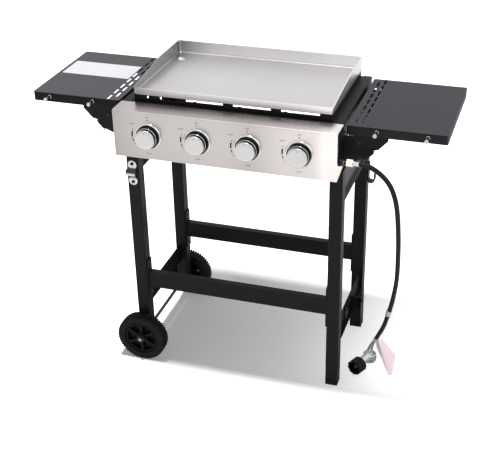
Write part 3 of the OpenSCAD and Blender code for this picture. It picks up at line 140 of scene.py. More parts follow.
def outward(piece):
    """Merge doubles and turn all normals outwards."""
    work = bmesh.new()
    work.from_mesh(piece.data)
    bmesh.ops.remove_doubles(work, verts=work.verts, dist=1e-7)
    bmesh.ops.dissolve_degenerate(work, edges=work.edges, dist=1e-8)
    bmesh.ops.recalc_face_normals(work, faces=work.faces)
    work.to_mesh(piece.data)
    work.free()
    return piece


def sharpen(piece, angle=35):
    """Shade smooth, but keep every edge sharper than the angle."""
    mesh = piece.data
    mesh.polygons.foreach_set("use_smooth", [True] * len(mesh.polygons))
    mesh.set_sharp_from_angle(angle=math.radians(angle))
    return piece


def curve_through(points, first, last, steps):
    """Catmull-Rom curve: each stretch is the cubic 0.5 (2b + (c-a)t + (2a-5b+4c-d)t^2 +
    (3b-a-3c+d)t^3); ghost points carry on the ways at both ends."""
    pad = np.vstack([points[0] - np.linalg.norm(points[1] - points[0]) * first, points,
                     points[-1] + np.linalg.norm(points[-1] - points[-2]) * last])
    t = (np.arange(steps) / steps)[:, None]
    out = [0.5 * (2 * b + (c - a) * t + (2 * a - 5 * b + 4 * c - d) * t**2
                  + (3 * b - a - 3 * c + d) * t**3)
           for a, b, c, d in zip(pad[:-3], pad[1:-2], pad[2:-1], pad[3:])]
    return np.vstack(out + [points[-1:]])


def tube(name, path, radii, sides):
    """A round tube with flat ends: at each path point a ring of its radius lies square to the
    path's way, starting from the direction nearest to +Y, or to +Z where the path runs along Y."""
    way = np.gradient(path, axis=0)
    way /= np.linalg.norm(way, axis=1)[:, None]
    lean = np.array([0.0, 0.0, 1.0] if np.abs(way[:, 1]).max() > 0.95 else [0.0, 1.0, 0.0])
    side = lean - (way @ lean)[:, None] * way
    side /= np.linalg.norm(side, axis=1)[:, None]
    other = np.cross(way, side)
    turn_by = np.arange(sides) * 2 * np.pi / sides
    rings = (path[:, None, :] + np.broadcast_to(radii, len(path))[:, None, None]
             * (np.cos(turn_by)[None, :, None] * side[:, None, :]
                + np.sin(turn_by)[None, :, None] * other[:, None, :]))
    faces = grid_faces(len(path), sides, wrap_v=True)
    faces += [list(range(sides)), list(range((len(path) - 1) * sides, len(path) * sides))]
    return outward(new_piece(name, rings.reshape(-1, 3), faces))


hose_path = metres(curve_through(hose_route, np.array([1.0, 0, 0]), hose_end_way, hose_steps))
hose = sharpen(tube("gas_hose_dressed", hose_path, hose_radius * mm, 28))


def shader_group(name, sockets_in, sockets_out):
    """A shader node group with named inputs (name, kind, default) and outputs (name, kind)."""
    group = bpy.data.node_groups.new(name, "ShaderNodeTree")
    for label, kind, value in sockets_in:
        socket = group.interface.new_socket(name=label, in_out="INPUT", socket_type=kind)
        if value is not None:
            socket.default_value = value
    for label, kind in sockets_out:
        group.interface.new_socket(name=label, in_out="OUTPUT", socket_type=kind)
    return group, group.nodes.new("NodeGroupInput"), group.nodes.new("NodeGroupOutput")


def node(tree, kind, settings=None, **values):
    """A node with its settings and the values of its named inputs."""
    made = tree.nodes.new(kind)
    for key, value in (settings or {}).items():
        setattr(made, key, value)
    for key, value in values.items():
        made.inputs[key.replace("_", " ")].default_value = value
    return made


def wire(tree, a, a_socket, b, b_socket):
    tree.links.new(a.outputs[a_socket], b.inputs[b_socket])


# rubber, paint and moulded plastic: a fine noise makes the pimpled height, a wide one the shade
coat_skin, coat_in, coat_out = shader_group(
    "coat_skin",
    [("Vector", "NodeSocketVector", None), ("Peel Scale", "NodeSocketFloat", 900.0),
     ("Shade Scale", "NodeSocketFloat", 9.0)],
    [("Height", "NodeSocketFloat"), ("Shade", "NodeSocketFloat")])
peel = node(coat_skin, "ShaderNodeTexNoise", Detail=3.0, Roughness=0.55)
shade = node(coat_skin, "ShaderNodeTexNoise", Detail=4.0, Roughness=0.6)
for made, label in ((peel, "Peel Scale"), (shade, "Shade Scale")):
    wire(coat_skin, coat_in, "Vector", made, "Vector")
    wire(coat_skin, coat_in, label, made, "Scale")
wire(coat_skin, peel, "Fac", coat_out, "Height")
wire(coat_skin, shade, "Fac", coat_out, "Shade")


def material(name):
    """An empty node material with its Principled BSDF and object coordinates."""
    made = bpy.data.materials.new(name)
    made.use_nodes = True
    tree = made.node_tree
    return made, tree, tree.nodes["Principled BSDF"], tree.nodes.new("ShaderNodeTexCoord")


def ramp(tree, low, high, at=(0.3, 0.7)):
    """A colour ramp between two colours or greys over part of its input."""
    made = tree.nodes.new("ShaderNodeValToRGB")
    for i, c in enumerate((low, high)):
        c = (c, c, c) if isinstance(c, (int, float)) else c
        made.color_ramp.elements[i].position = at[i]
        made.color_ramp.elements[i].color = (*c, 1.0)
    return made


def coated(name, low, high, rough=(0.42, 0.52), peel_height=0.00006, peel_scale=900.0,
           level=0.35, round_edges=0.0012):
    """Painted or moulded skin: shade varies between two colours, with a fine pimpled height
    and softly rounded edges."""
    made, tree, skin, coords = material(name)
    fine = node(tree, "ShaderNodeGroup", {"node_tree": coat_skin})
    fine.inputs["Peel Scale"].default_value = peel_scale
    wire(tree, coords, "Object", fine, "Vector")
    tint = ramp(tree, low, high)
    gloss = ramp(tree, rough[0], rough[1])
    wire(tree, fine, "Shade", tint, "Fac")
    wire(tree, fine, "Shade", gloss, "Fac")
    wire(tree, tint, "Color", skin, "Base Color")
    wire(tree, gloss, "Color", skin, "Roughness")
    bump = node(tree, "ShaderNodeBump", Strength=0.5, Distance=peel_height)
    wire(tree, fine, "Height", bump, "Height")
    if round_edges:
        edge = node(tree, "ShaderNodeBevel", {"samples": 4}, Radius=round_edges)
        wire(tree, edge, "Normal", bump, "Normal")
    wire(tree, bump, "Normal", skin, "Normal")
    skin.inputs["Specular IOR Level"].default_value = level
    return made


def dress(obj, finish, body=None):
    """Give an object its finish, and a new piece its body and slot."""
    if not obj.data.materials:
        obj.data.materials.append(finish)
    for held in obj.material_slots:
        held.material = finish
    if body:
        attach(obj, body)
    return obj


hose_rubber = coated("hose_rubber", (0.009, 0.009, 0.010), (0.016, 0.016, 0.017), (0.38, 0.5),
                     0.00005, 700.0, 0.14, 0.0)
dress(hose, hose_rubber, "frame")
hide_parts("gas_hose")

# Cart frame: legs, rails and side sheets
# Square steel tubes and folded sheets, welded or screwed together and powder
# coated black before the plastic caps are pushed in.
black_coat = coated("black_powder_coat", (0.0070, 0.0070, 0.0075), (0.0105, 0.0105, 0.0110),
                    (0.42, 0.52), 0.00006, 800.0, 0.13)
# painted shade: a darker copy of the black coat, for the side sheets that lie in shade under the
# shelves and for the panel's end plates
painted_shade_coat = coated("painted_shade_powder_coat", (0.0040, 0.0040, 0.0043), (0.0070, 0.0070, 0.0073),
                     (0.5, 0.6), 0.00006, 800.0, 0.04)
for name in ("leg_front_left", "leg_front_right", "leg_rear_left", "leg_rear_right",
             "front_rail", "rear_rail"):
    dress(nodes[name], black_coat)
for name in ("upper_side_left", "lower_side_left", "lower_side_right"):
    dress(nodes[name], painted_shade_coat)
# painted light: the right upper side sheet has the same black coat, made much lighter where the
# light from the right falls on it
dress(nodes["upper_side_right"],
      coated("side_sheet_painted_light_coat", (0.040, 0.040, 0.044), (0.060, 0.060, 0.066), (0.42, 0.52),
             0.00006, 800.0, 0.3))
cap_plastic = coated("cap_plastic", (0.010, 0.010, 0.011), (0.016, 0.016, 0.017), (0.5, 0.62),
                     0.00008, 500.0, 0.3)
dress(nodes["leg_caps"], cap_plastic)


def weld(name, start, end, radius=0.0021):
    """A weld bead: a tube whose radius ripples with |sin| along its length, flattened by
    being half sunk in the joint."""
    drops = max(3, int(np.linalg.norm(end - start) / (radius * 1.4)))
    t = np.linspace(0, 1, drops * 6 + 1)
    path = start + t[:, None] * (end - start)
    radii = radius * (0.78 + 0.22 * np.abs(np.sin(np.pi * drops * t)))
    radii[[0, -1]] = radius * 0.3
    return tube(name, path, radii, 10)


# a bead along the top and the bottom of each rail's end, and two up its rear side: each from
# (y, z) to (y, z), with y counted from the rail's middle
sides_of_cart = (("left", -1), ("right", 1))
rail_ys = (("front", 20), ("rear", 335))
rail_end = 266.6
rail_beads = (((-9, 286), (9, 286)), ((10, 262), (10, 283)),
              ((-9, 236), (9, 236)), ((10, 239), (10, 260)))
for rail_name, y in rail_ys:
    for side_name, sx in sides_of_cart:
        for k, ((dy, z), (end_dy, end_z)) in enumerate(rail_beads):
            bead = weld(f"{rail_name}_rail_weld_{side_name}_{k}",
                        place(sx * rail_end, y + dy, z), place(sx * rail_end, y + end_dy, end_z))
            dress(bead, black_coat, "frame")

# Frame screws
# Pan-head screws, zinc plated or black: a low dome with a cross pressed into it.
to_front, to_right, straight_up = (0, -1, 0), (1, 0, 0), (0, 0, 1)

# brushed steel: noise stretched along one way gives grain lines, a wide noise the smear
grain, grain_in, grain_out = shader_group(
    "grain_lines",
    [("Vector", "NodeSocketVector", None), ("Stretch", "NodeSocketVector", (6.0, 900.0, 900.0)),
     ("Smear Scale", "NodeSocketFloat", 7.0)],
    [("Lines", "NodeSocketFloat"), ("Smear", "NodeSocketFloat")])
stretch = node(grain, "ShaderNodeVectorMath", {"operation": "MULTIPLY"})
wire(grain, grain_in, "Vector", stretch, 0)
wire(grain, grain_in, "Stretch", stretch, 1)
lines = node(grain, "ShaderNodeTexNoise", Scale=1.0, Detail=4.0, Roughness=0.6)
smear = node(grain, "ShaderNodeTexNoise", Detail=3.0, Roughness=0.6)
wire(grain, stretch, "Vector", lines, "Vector")
wire(grain, grain_in, "Vector", smear, "Vector")
wire(grain, grain_in, "Smear Scale", smear, "Scale")
wire(grain, lines, "Fac", grain_out, "Lines")
wire(grain, smear, "Fac", grain_out, "Smear")


def blended(tree, kind, share, first, second):
    """Two colours mixed or multiplied; the share is a number or another node's output."""
    made = node(tree, "ShaderNodeMix", {"data_type": "RGBA", "blend_type": kind})
    if isinstance(share, (int, float)):
        made.inputs[0].default_value = share
    else:
        tree.links.new(share, made.inputs[0])
    tree.links.new(first, made.inputs[6])
    tree.links.new(second, made.inputs[7])
    return made.outputs[2]


def brushed_metal(name, low, high, rough=(0.26, 0.38), stretch_by=(6.0, 900.0, 900.0),
                  height=0.00002, round_edges=0.0008, painted_light_map=None):
    """Bare metal with grain lines: the lines vary the colour, the roughness and the height.
    A painted light map, made from the tree and its coordinates, multiplies the colour: it paints
    reflection and shade on the metal."""
    made, tree, skin, coords = material(name)
    fine = node(tree, "ShaderNodeGroup", {"node_tree": grain})
    fine.inputs["Stretch"].default_value = stretch_by
    wire(tree, coords, "Object", fine, "Vector")
    mix = node(tree, "ShaderNodeMix", {"data_type": "FLOAT"})
    mix.inputs[0].default_value = 0.55
    wire(tree, fine, "Lines", mix, 2)
    wire(tree, fine, "Smear", mix, 3)
    tint = ramp(tree, low, high, (0.25, 0.75))
    gloss = ramp(tree, rough[0], rough[1], (0.25, 0.75))
    tree.links.new(mix.outputs[0], tint.inputs["Fac"])
    tree.links.new(mix.outputs[0], gloss.inputs["Fac"])
    if painted_light_map:
        tree.links.new(blended(tree, "MULTIPLY", 1.0, tint.outputs["Color"],
                               painted_light_map(tree, coords)), skin.inputs["Base Color"])
    else:
        wire(tree, tint, "Color", skin, "Base Color")
    wire(tree, gloss, "Color", skin, "Roughness")
    skin.inputs["Metallic"].default_value = 1.0
    bump = node(tree, "ShaderNodeBump", Strength=0.4, Distance=height)
    wire(tree, fine, "Lines", bump, "Height")
    if round_edges:
        edge = node(tree, "ShaderNodeBevel", {"samples": 4}, Radius=round_edges)
        wire(tree, edge, "Normal", bump, "Normal")
    wire(tree, bump, "Normal", skin, "Normal")
    return made


zinc = brushed_metal("zinc_plate", (0.36, 0.36, 0.37), (0.5, 0.5, 0.51), (0.3, 0.42),
                     (140.0, 140.0, 140.0), 0.00003)
dark_zinc = brushed_metal("dark_zinc", (0.05, 0.05, 0.052), (0.1, 0.1, 0.103), (0.35, 0.48),
                          (140.0, 140.0, 140.0), 0.00003)


def square_to(axis):
    """Two unit ways that stand square to an axis and to each other."""
    help_way = straight_up if abs(axis[2]) < 0.9 else to_right
    u = np.cross(help_way, axis)
    u /= np.linalg.norm(u)
    return u, np.cross(axis, u)


def lathe(name, profile, centre, axis, sides=48, closed=False):
    """A turned piece: each profile point (radius, distance along the axis), in millimetres,
    swept round the axis through the centre. A closed profile makes a ring; the ends of an
    open one are capped where they stand off the axis."""
    profile = np.asarray(profile + profile[:1] if closed else profile, float) * mm
    axis = np.asarray(axis, float) / np.linalg.norm(axis)
    u, v = square_to(axis)
    turn_by = np.arange(sides) * 2 * np.pi / sides
    ring = np.cos(turn_by)[:, None] * u + np.sin(turn_by)[:, None] * v
    points = (np.asarray(centre) + profile[:, None, 1:2] * axis
              + profile[:, None, 0:1] * ring[None, :, :])
    faces = grid_faces(len(profile), sides, wrap_v=True)
    for row in () if closed else (0, len(profile) - 1):
        if profile[row, 0] > 1e-7:
            faces.append([row * sides + i for i in range(sides)])
    return sharpen(outward(new_piece(name, points.reshape(-1, 3), faces)), 40)


def screw_head(name, seat, axis, radius, height, finish, body="frame"):
    """A pan head with a cross recess: the dome's height falls by 0.45 of itself as radius to
    the power 2.4, and by 0.42 more inside two crossed bars."""
    axis = np.asarray(axis, float)
    u, v = square_to(axis)
    rings, sides = 9, 40
    bar_half, bar_reach, shoulder = 0.14, 0.58, 0.985
    r = np.linspace(0, 1, rings)[:, None]
    a = (np.arange(sides) * 2 * np.pi / sides)[None, :]
    x, y = r * np.cos(a), r * np.sin(a)
    x, y = np.abs(x), np.abs(y)
    bar = ((x < bar_half) & (y < bar_reach)) | ((y < bar_half) & (x < bar_reach))
    h = height * (1 - 0.45 * r**2.4) * np.ones_like(a) - bar * height * 0.42
    h[-1] = 0
    h[-2] = height * 0.5
    r[-2] = shoulder
    x, y = r * np.cos(a), r * np.sin(a)
    points = seat + mm * (radius * x[..., None] * u + radius * y[..., None] * v
                             + h[..., None] * axis)
    head = new_piece(name, points.reshape(-1, 3), grid_faces(rings, sides, wrap_v=True))
    sharpen(outward(head), 50)
    return dress(head, finish, body)


black_screw = coated("black_screw", (0.012, 0.012, 0.013), (0.022, 0.022, 0.024), (0.4, 0.5),
                     0.00003, 400.0, 0.25, 0.0)
wheel_x = -289
# the rails' end plates, then the opener, the hook, the cradle and the panel's end plates
rail_seats = [(place(sx * 267, y, 261 + dz), (-sx, 0, 0))
              for sx in (-1, 1) for _, y in rail_ys for dz in (-48, 48)]
other_seats = [(place(wheel_x, -0.5, 610 + dz), to_front) for dz in (-27.4, 27.4)]
other_seats += [(place(310, 335, 553 + dz), to_right) for dz in (-9, 9)]
other_seats += [(place(299, 153.4 + dy, 183.5), to_right) for dy in (-25.1, 25.1)]
other_seats += [(place(sx * 307, -16.7, 802.2), (sx, 0, 0)) for sx in (-1, 1)]
for k, (seat, facing) in enumerate(rail_seats + other_seats, 1):
    head = screw_head(f"frame_screw_head_{k}", seat, facing, 4.8, 2.9,
                      dark_zinc if k <= len(rail_seats) else black_screw)
    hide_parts("frame_screws")

# Axle and wheels
# A plain steel axle through the short legs, with washers and nuts. Each wheel is
# a moulded hub with six deep pockets, and a lugged tyre pressed round it.
tyre_rubber = coated("tyre_rubber", (0.0055, 0.0055, 0.0055), (0.0095, 0.0095, 0.0095),
                     (0.55, 0.7), 0.0001, 420.0, 0.14, 0.0006)
hub_plastic = coated("hub_plastic", (0.0045, 0.0045, 0.0048), (0.0075, 0.0075, 0.0080),
                     (0.36, 0.46), 0.00006, 600.0, 0.10, 0.001)
dress(nodes["wheel_axle"], dark_zinc)
dress(nodes["axle_hardware"], dark_zinc)
wheel_radius = 75
wheels = (("front", -17.5, -1), ("rear", 372.5, 1))
for name, _, _ in wheels:
    dress(nodes[name + "_wheel_hub"], hub_plastic)


def lugged_tyre(name, centre):
    """A tyre about the Y axis. Across the tread the radius follows a rounded section, and
    beside the middle band it falls by the lug depth for half of every lug's pitch; the two
    shoulders are half a pitch apart."""
    section = [(-16.0, 53.0, 0), (-17.3, 58.0, 0), (-17.5, 67.0, 0), (-17.4, 72.0, 1),
               (-16.4, 74.2, 1), (-12.0, 75.0, 1), (-2.0, 75.0, 1), (-1.0, 74.0, 0),
               (1.0, 74.0, 0), (2.0, 75.0, 1), (12.0, 75.0, 1), (16.4, 74.2, 1),
               (17.4, 72.0, 1), (17.5, 67.0, 0), (17.3, 58.0, 0), (16.0, 53.0, 0)]
    lugs, steps, lug_depth = 54, 8, 4.0
    count = lugs * steps
    turn_by = np.arange(count) * 2 * np.pi / count
    rows = []
    for across, radius, lugged in section:
        phase = (np.arange(count) % steps) / steps + (0.5 if across > 0 else 0.0)
        low = (phase % 1.0) >= 0.5
        r = (radius - lug_depth * lugged * low) * mm
        rows.append(np.stack([centre[0] + r * np.cos(turn_by),
                              np.full(count, centre[1] + across * mm),
                              centre[2] + r * np.sin(turn_by)], -1))
    faces = grid_faces(len(section), count, wrap_u=True, wrap_v=True)
    return sharpen(outward(new_piece(name, np.concatenate(rows), faces)), 38)


# two raised ribs and a hub ring on both faces of each wheel
for name, y, _ in wheels:
    body = name + "_wheel"
    centre = place(wheel_x, y, wheel_radius)
    tyre = lugged_tyre(f"{name}_lugged_tyre", centre)
    dress(tyre, tyre_rubber, body)
    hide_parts(f"{name}_tyre")
    for face, s in (("outer", -1), ("inner", 1)):
        rib = lathe(f"{name}_tyre_rib_{face}",
                    [(55.5, 16.4), (56.2, 17.0), (57.4, 17.0), (58.2, 16.4), (62.4, 16.2),
                     (63.2, 16.9), (64.2, 16.9), (65.0, 16.0), (65.0, 15.0), (55.5, 15.0)],
                    centre, (0, s, 0), 96, True)
        dress(rib, tyre_rubber, body)
        ring = lathe(f"{name}_hub_ring_{face}",
                     [(46.0, 12.6), (46.6, 13.9), (48.4, 14.2), (50.2, 13.9), (51.0, 12.6)],
                     centre, (0, s, 0), 96, True)
        dress(ring, hub_plastic, body)
# a rounded tip at each end of the axle
axle_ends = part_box("wheel_axle")
for name, _, way_out in wheels:
    tip_at = place(wheel_x, 0, wheel_radius)
    tip_at[1] = axle_ends[0 if way_out < 0 else 1][1]
    tip = lathe(f"{name}_axle_tip", [(4.4, -1.2), (4.4, 0.2), (3.6, 0.8), (0, 1.0)], tip_at,
                (0, way_out, 0), 32)
    dress(tip, zinc, "frame")
screw_head("rear_hub_screw", place(wheel_x + 33, 370.1, wheel_radius + 8), to_front, 4.0, 2.4,
           zinc, "rear_wheel")

# Firebox, deck and collar
# One welded box of folded sheet, powder coated. A groove in its deck runs round the
# slotted collar that stands up under the griddle plate. The gas parts are inside it.
box_coat = coated("firebox_coat", (0.0070, 0.0070, 0.0074), (0.0110, 0.0110, 0.0115),
                  (0.42, 0.54), 0.00007, 700.0, 0.12)
dress(nodes["firebox"], box_coat)
for name in ("burners", "gas_manifold"):
    dress(nodes[name], brushed_metal(name + "_steel", (0.3, 0.29, 0.28), (0.46, 0.45, 0.44),
                                     (0.35, 0.5), (40.0, 40.0, 300.0), 0.00004))
dress(nodes["igniters"], coated("igniter_ceramic", (0.72, 0.70, 0.64), (0.8, 0.78, 0.73),
                                (0.18, 0.3), 0.00002, 400.0, 0.5, 0.0004))
brass = brushed_metal("brass", (0.62, 0.47, 0.2), (0.78, 0.62, 0.32), (0.24, 0.36),
                      (90.0, 90.0, 90.0), 0.00003)
dress(nodes["gas_valves"], brass)
galvanised = brushed_metal("galvanised", (0.42, 0.43, 0.44), (0.6, 0.61, 0.62), (0.32, 0.5),
                           (35.0, 35.0, 35.0), 0.00002)
dress(nodes["grease_chute"], galvanised)
dress(nodes["cup_rails"], black_coat)
dress(nodes["grease_cup"], brushed_metal("cup_steel", (0.5, 0.5, 0.5), (0.64, 0.64, 0.64),
                                         (0.25, 0.36), (10.0, 400.0, 400.0)))

# Griddle plate
# A pan bent from 2.5 mm steel and ground inside: level walls at the back, falling
# at the sides to a low front lip, with a weld line in each corner.
plate_w, plate_d, plate_low = 550.0, 340.0, 840.0
plate_y = 182.0
wall_front, wall_rear, wall_level = 19.0, 40.0, 152.0
drain_at = place(-245, 295, plate_low)


def along(tree, coords, axis, stops):
    """A grey that changes along an object axis: straight runs between (metres, grey) stops."""
    split = tree.nodes.new("ShaderNodeSeparateXYZ")
    wire(tree, coords, "Object", split, "Vector")
    spread = node(tree, "ShaderNodeMapRange")
    spread.inputs["From Min"].default_value = stops[0][0]
    spread.inputs["From Max"].default_value = stops[-1][0]
    wire(tree, split, axis, spread, "Value")
    run = tree.nodes.new("ShaderNodeValToRGB")
    span = stops[-1][0] - stops[0][0]
    for k, (place_at, grey) in enumerate(stops):
        if 0 < k < len(stops) - 1:
            point = run.color_ramp.elements.new((place_at - stops[0][0]) / span)
        else:
            point = run.color_ramp.elements[0 if k == 0 else -1]
            point.position = 0.0 if k == 0 else 1.0
        point.color = (grey, grey, grey, 1.0)
    wire(tree, spread, "Result", run, "Fac")
    return run


def plate_painted_reflection(tree, coords):
    """Painted reflection on the ground steel, a grey that multiplies its colour: the floor is
    even, duller towards its rear left, and the walls rise from dull at the left to bright at the
    right."""
    floor_rear = along(tree, coords, "X", [(-0.275, 0.38), (-0.22, 0.54), (-0.18, 0.61),
                                           (0.0, 0.60), (0.14, 0.64), (0.275, 0.63)])
    floor_front = along(tree, coords, "X", [(-0.275, 0.42), (-0.235, 0.63), (-0.10, 0.67),
                                            (0.18, 0.66), (0.275, 0.66)])
    rearward = along(tree, coords, "Y", [(-0.03, 0.0), (0.11, 1.0)])
    level = blended(tree, "MIX", rearward.outputs["Color"], floor_front.outputs["Color"],
                    floor_rear.outputs["Color"])
    walls = along(tree, coords, "X", [(-0.275, 0.40), (-0.235, 0.60), (-0.17, 0.80),
                                      (0.0, 0.85), (0.15, 0.90), (0.25, 1.0), (0.275, 1.0)])
    standing = along(tree, coords, "Z", [(0.8455, 0.0), (0.8515, 1.0)])
    return blended(tree, "MIX", standing.outputs["Color"], level, walls.outputs["Color"])


plate_steel = brushed_metal("ground_steel", (0.88, 0.865, 0.86), (1.0, 0.985, 0.98),
                            (0.28, 0.40), (5.0, 700.0, 400.0), 0.00002, 0.0, plate_painted_reflection)


def outline(inset):
    """A rectangle with rounded corners, drawn anticlockwise from the front right: quarter
    circles of the radius less the inset, joined by straight runs of equal steps."""
    radius, arc, run = 9.0, 7, 26
    w, d = plate_w / 2 - inset, plate_d / 2 - inset
    r = max(radius - inset, 0.6)
    points = []
    corners = [(w - r, -d + r, -90), (w - r, d - r, 0), (-w + r, d - r, 90), (-w + r, -d + r, 180)]
    for i, (cx, cy, a0) in enumerate(corners):
        a = np.radians(a0 + np.linspace(0, 90, arc))
        bend = np.stack([cx + r * np.cos(a), cy + r * np.sin(a)], -1)
        nx, ny, na = corners[(i + 1) % 4]
        b = np.radians(na)
        end = np.array([nx + r * np.cos(b), ny + r * np.sin(b)])
        t = np.linspace(0, 1, run + 1)[1:-1, None]
        points += [bend, bend[-1] + t * (end - bend[-1])]
    return np.vstack(points)


def wall_height(y):
    """The rear height over the level stretch, falling in a straight line to the front height."""
    return np.interp(y, [-plate_d / 2 + 2.5, plate_d / 2 - wall_level], [wall_front, wall_rear])


# section from the middle of the underside, round the wall and back to the middle
# of the floor: (inset, height, 1 where the height counts from the wall's top)
section = [(168, 0, 0), (60, 0, 0), (8, 0, 0), (2.2, 0, 0), (0.9, 0.35, 0), (0.2, 1.1, 0),
           (0, 2.4, 0), (0, -3, 1), (0, -1.0, 1), (0.35, -0.3, 1), (1.25, 0, 1),
           (2.15, -0.3, 1), (2.5, -1.0, 1), (2.5, -3, 1), (2.6, 7.6, 0), (3.1, 5.9, 0),
           (4.2, 4.7, 0), (6.2, 4.05, 0), (12, 4, 0), (60, 4, 0), (168, 4, 0)]
rows = []
for inset, h, top in section:
    ring = outline(inset)
    lift = h + top * wall_height(outline(0)[:, 1])
    rows.append(np.column_stack([ring, plate_low + lift * np.ones(len(ring))]))
rows = np.stack(rows)
rows[..., 1] += plate_y
around = rows.shape[1]
plate_faces = grid_faces(len(section), around, wrap_v=True)
plate_faces += [list(range(around)), list(range(rows.size // 3 - around, rows.size // 3))]
griddle = outward(new_piece("griddle_plate_dressed", metres(rows.reshape(-1, 3)), plate_faces))
spout = lathe("griddle_spout", [(11, -16), (11, 1), (8.9, 1), (8.9, -16)], drain_at, straight_up,
              48, True)


def worked_out(obj):
    """The mesh that an object's modifiers, or its letters, come to."""
    bpy.context.view_layer.update()
    seen = obj.evaluated_get(bpy.context.evaluated_depsgraph_get())
    return bpy.data.meshes.new_from_object(seen)


# the drain hole is cut with a turned tool
drain_tool = lathe("drain_tool", [(9, -3), (9, 8)], drain_at, straight_up)
step = griddle.modifiers.new("drain", "BOOLEAN")
step.object, step.solver = drain_tool, "EXACT"
cut_plate = worked_out(griddle)
griddle.modifiers.clear()
griddle.data = cut_plate
bpy.data.objects.remove(drain_tool)
sharpen(griddle, 30)
dress(griddle, plate_steel, "griddle")
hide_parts("griddle_plate")
dress(spout, galvanised, "griddle")
polished = brushed_metal("polished_steel", (0.8, 0.8, 0.8), (0.9, 0.9, 0.9), (0.08, 0.16),
                         (60.0, 60.0, 60.0), 0.00001, 0.0)
drain = lathe("drain_eyelet", [(12.4, 4.0), (12.2, 4.5), (11, 4.7), (9.6, 4.4), (8.6, 3.0),
                               (7.2, 0.6), (6.2, -3), (6.6, -3), (8.2, 0.6), (9.0, 2.8),
                               (9.0, 4.0)], drain_at, straight_up, 64, True)
dress(drain, polished, "griddle")
# a weld line in each corner
for name, sx, y, h in (("rear_left", -1, 344.6, 33), ("rear_right", 1, 344.6, 33),
                       ("front_left", -1, 19.4, 13), ("front_right", 1, 19.4, 13)):
    seam = weld("griddle_seam_" + name, place(sx * 270.3, y, 845.5), place(sx * 270.3, y, 842 + h),
                0.0011)
    dress(seam, brushed_metal("seam_" + name, (0.16, 0.155, 0.15), (0.34, 0.33, 0.32),
                              (0.4, 0.55), (200.0, 200.0, 200.0), 0.00003, 0.0),
          "griddle")

# Control panel
# A folded stainless front, brushed along its length, with small printed marks at
# each knob: OFF and a triangle at the top, HIGH and a thinning arc at the left, LOW below.


def panel_painted_reflection(tree, coords):
    """Painted reflection: the panel brightens towards its right end and a little towards its upper
    edge.
    """
    across = along(tree, coords, "X", [(-0.3075, 0.46), (-0.275, 0.52), (-0.22, 0.57),
                                       (0.0, 0.61), (0.075, 0.56), (0.115, 0.63), (0.16, 0.71),
                                       (0.245, 0.80), (0.27, 1.0), (0.3075, 1.0)])
    upward = along(tree, coords, "Z", [(0.685, 0.86), (0.76, 0.97), (0.835, 1.0)])
    return blended(tree, "MULTIPLY", 1.0, across.outputs["Color"], upward.outputs["Color"])


panel_steel = brushed_metal("panel_steel", (0.91, 0.85, 0.83), (1.0, 0.935, 0.91),
                            (0.24, 0.34), (7.0, 900.0, 900.0), 0.000012, 0.0008, panel_painted_reflection)
dress(nodes["control_panel"], panel_steel)


def smooth_film(name, low, high, scale, detail, rough):
    """A thin smooth film, such as ink or a stuck plate, whose shade noise varies a little."""
    made, tree, skin, coords = material(name)
    speckle = node(tree, "ShaderNodeTexNoise", Scale=scale, Detail=detail)
    wire(tree, coords, "Object", speckle, "Vector")
    tint = ramp(tree, low, high)
    wire(tree, speckle, "Fac", tint, "Fac")
    wire(tree, tint, "Color", skin, "Base Color")
    skin.inputs["Roughness"].default_value = rough
    return made


grey_ink = smooth_film("grey_ink", 0.025, 0.07, 1800.0, 2.0, 0.5)
black_ink = coated("black_ink", (0.006, 0.006, 0.006), (0.012, 0.012, 0.012), (0.5, 0.6),
                   0.00001, 600.0, 0.2, 0.0)
panel_front = -62.0
knob_z = 755.0
knob_xs = [-207.0, -69.0, 69.0, 207.0]
letter_height = 0.006
ink_step = 0.06


def word(name, text, x, z):
    """A printed word, made a flat mesh and stood up in the plane of the panel."""
    letters = bpy.data.curves.new(name, "FONT")
    letters.body = text
    letters.size = letter_height
    letters.align_x, letters.align_y = "CENTER", "CENTER"
    letters.extrude = 0.00003
    drawn = bpy.data.objects.new(name, letters)
    bpy.context.scene.collection.objects.link(drawn)
    mesh = worked_out(drawn)
    bpy.data.objects.remove(drawn)
    flat = np.empty(len(mesh.vertices) * 3)
    mesh.vertices.foreach_get("co", flat)
    across, up, out = flat.reshape(-1, 3).T
    stood = place(x, panel_front - ink_step, z) + np.stack([across, -out, up], -1)
    mesh.vertices.foreach_set("co", stood.ravel())
    mesh.update()
    piece = bpy.data.objects.new(name, mesh)
    bpy.context.scene.collection.objects.link(piece)
    dress(piece, grey_ink, "frame")


def arc_bar(name, x, z, a0, a1, w0, w1):
    """A curved bar on the panel whose width falls evenly from w0 to w1 along its arc."""
    radius, count = 45.5, 25
    t = np.linspace(0, 1, count)
    a = np.radians(a0 + t * (a1 - a0))
    half = (w0 + t * (w1 - w0)) / 2
    inner = np.stack([(radius - half) * np.cos(a), (radius - half) * np.sin(a)], -1)
    outer = np.stack([(radius + half) * np.cos(a), (radius + half) * np.sin(a)], -1)
    rim = np.stack([inner, outer], 1)
    flat = np.stack([x + rim[..., 0], np.full(rim.shape[:2], 0.0), z + rim[..., 1]], -1)
    front, back = flat.copy(), flat.copy()
    front[..., 1], back[..., 1] = panel_front - 0.09, panel_front + 0.02
    ring = np.stack([front[:, 0], front[:, 1], back[:, 1], back[:, 0]], 1)
    last = 4 * (count - 1)
    faces = grid_faces(count, 4, wrap_v=True) + [[0, 1, 2, 3], list(range(last, last + 4))]
    return outward(new_piece(name, metres(ring.reshape(-1, 3)), faces, False))


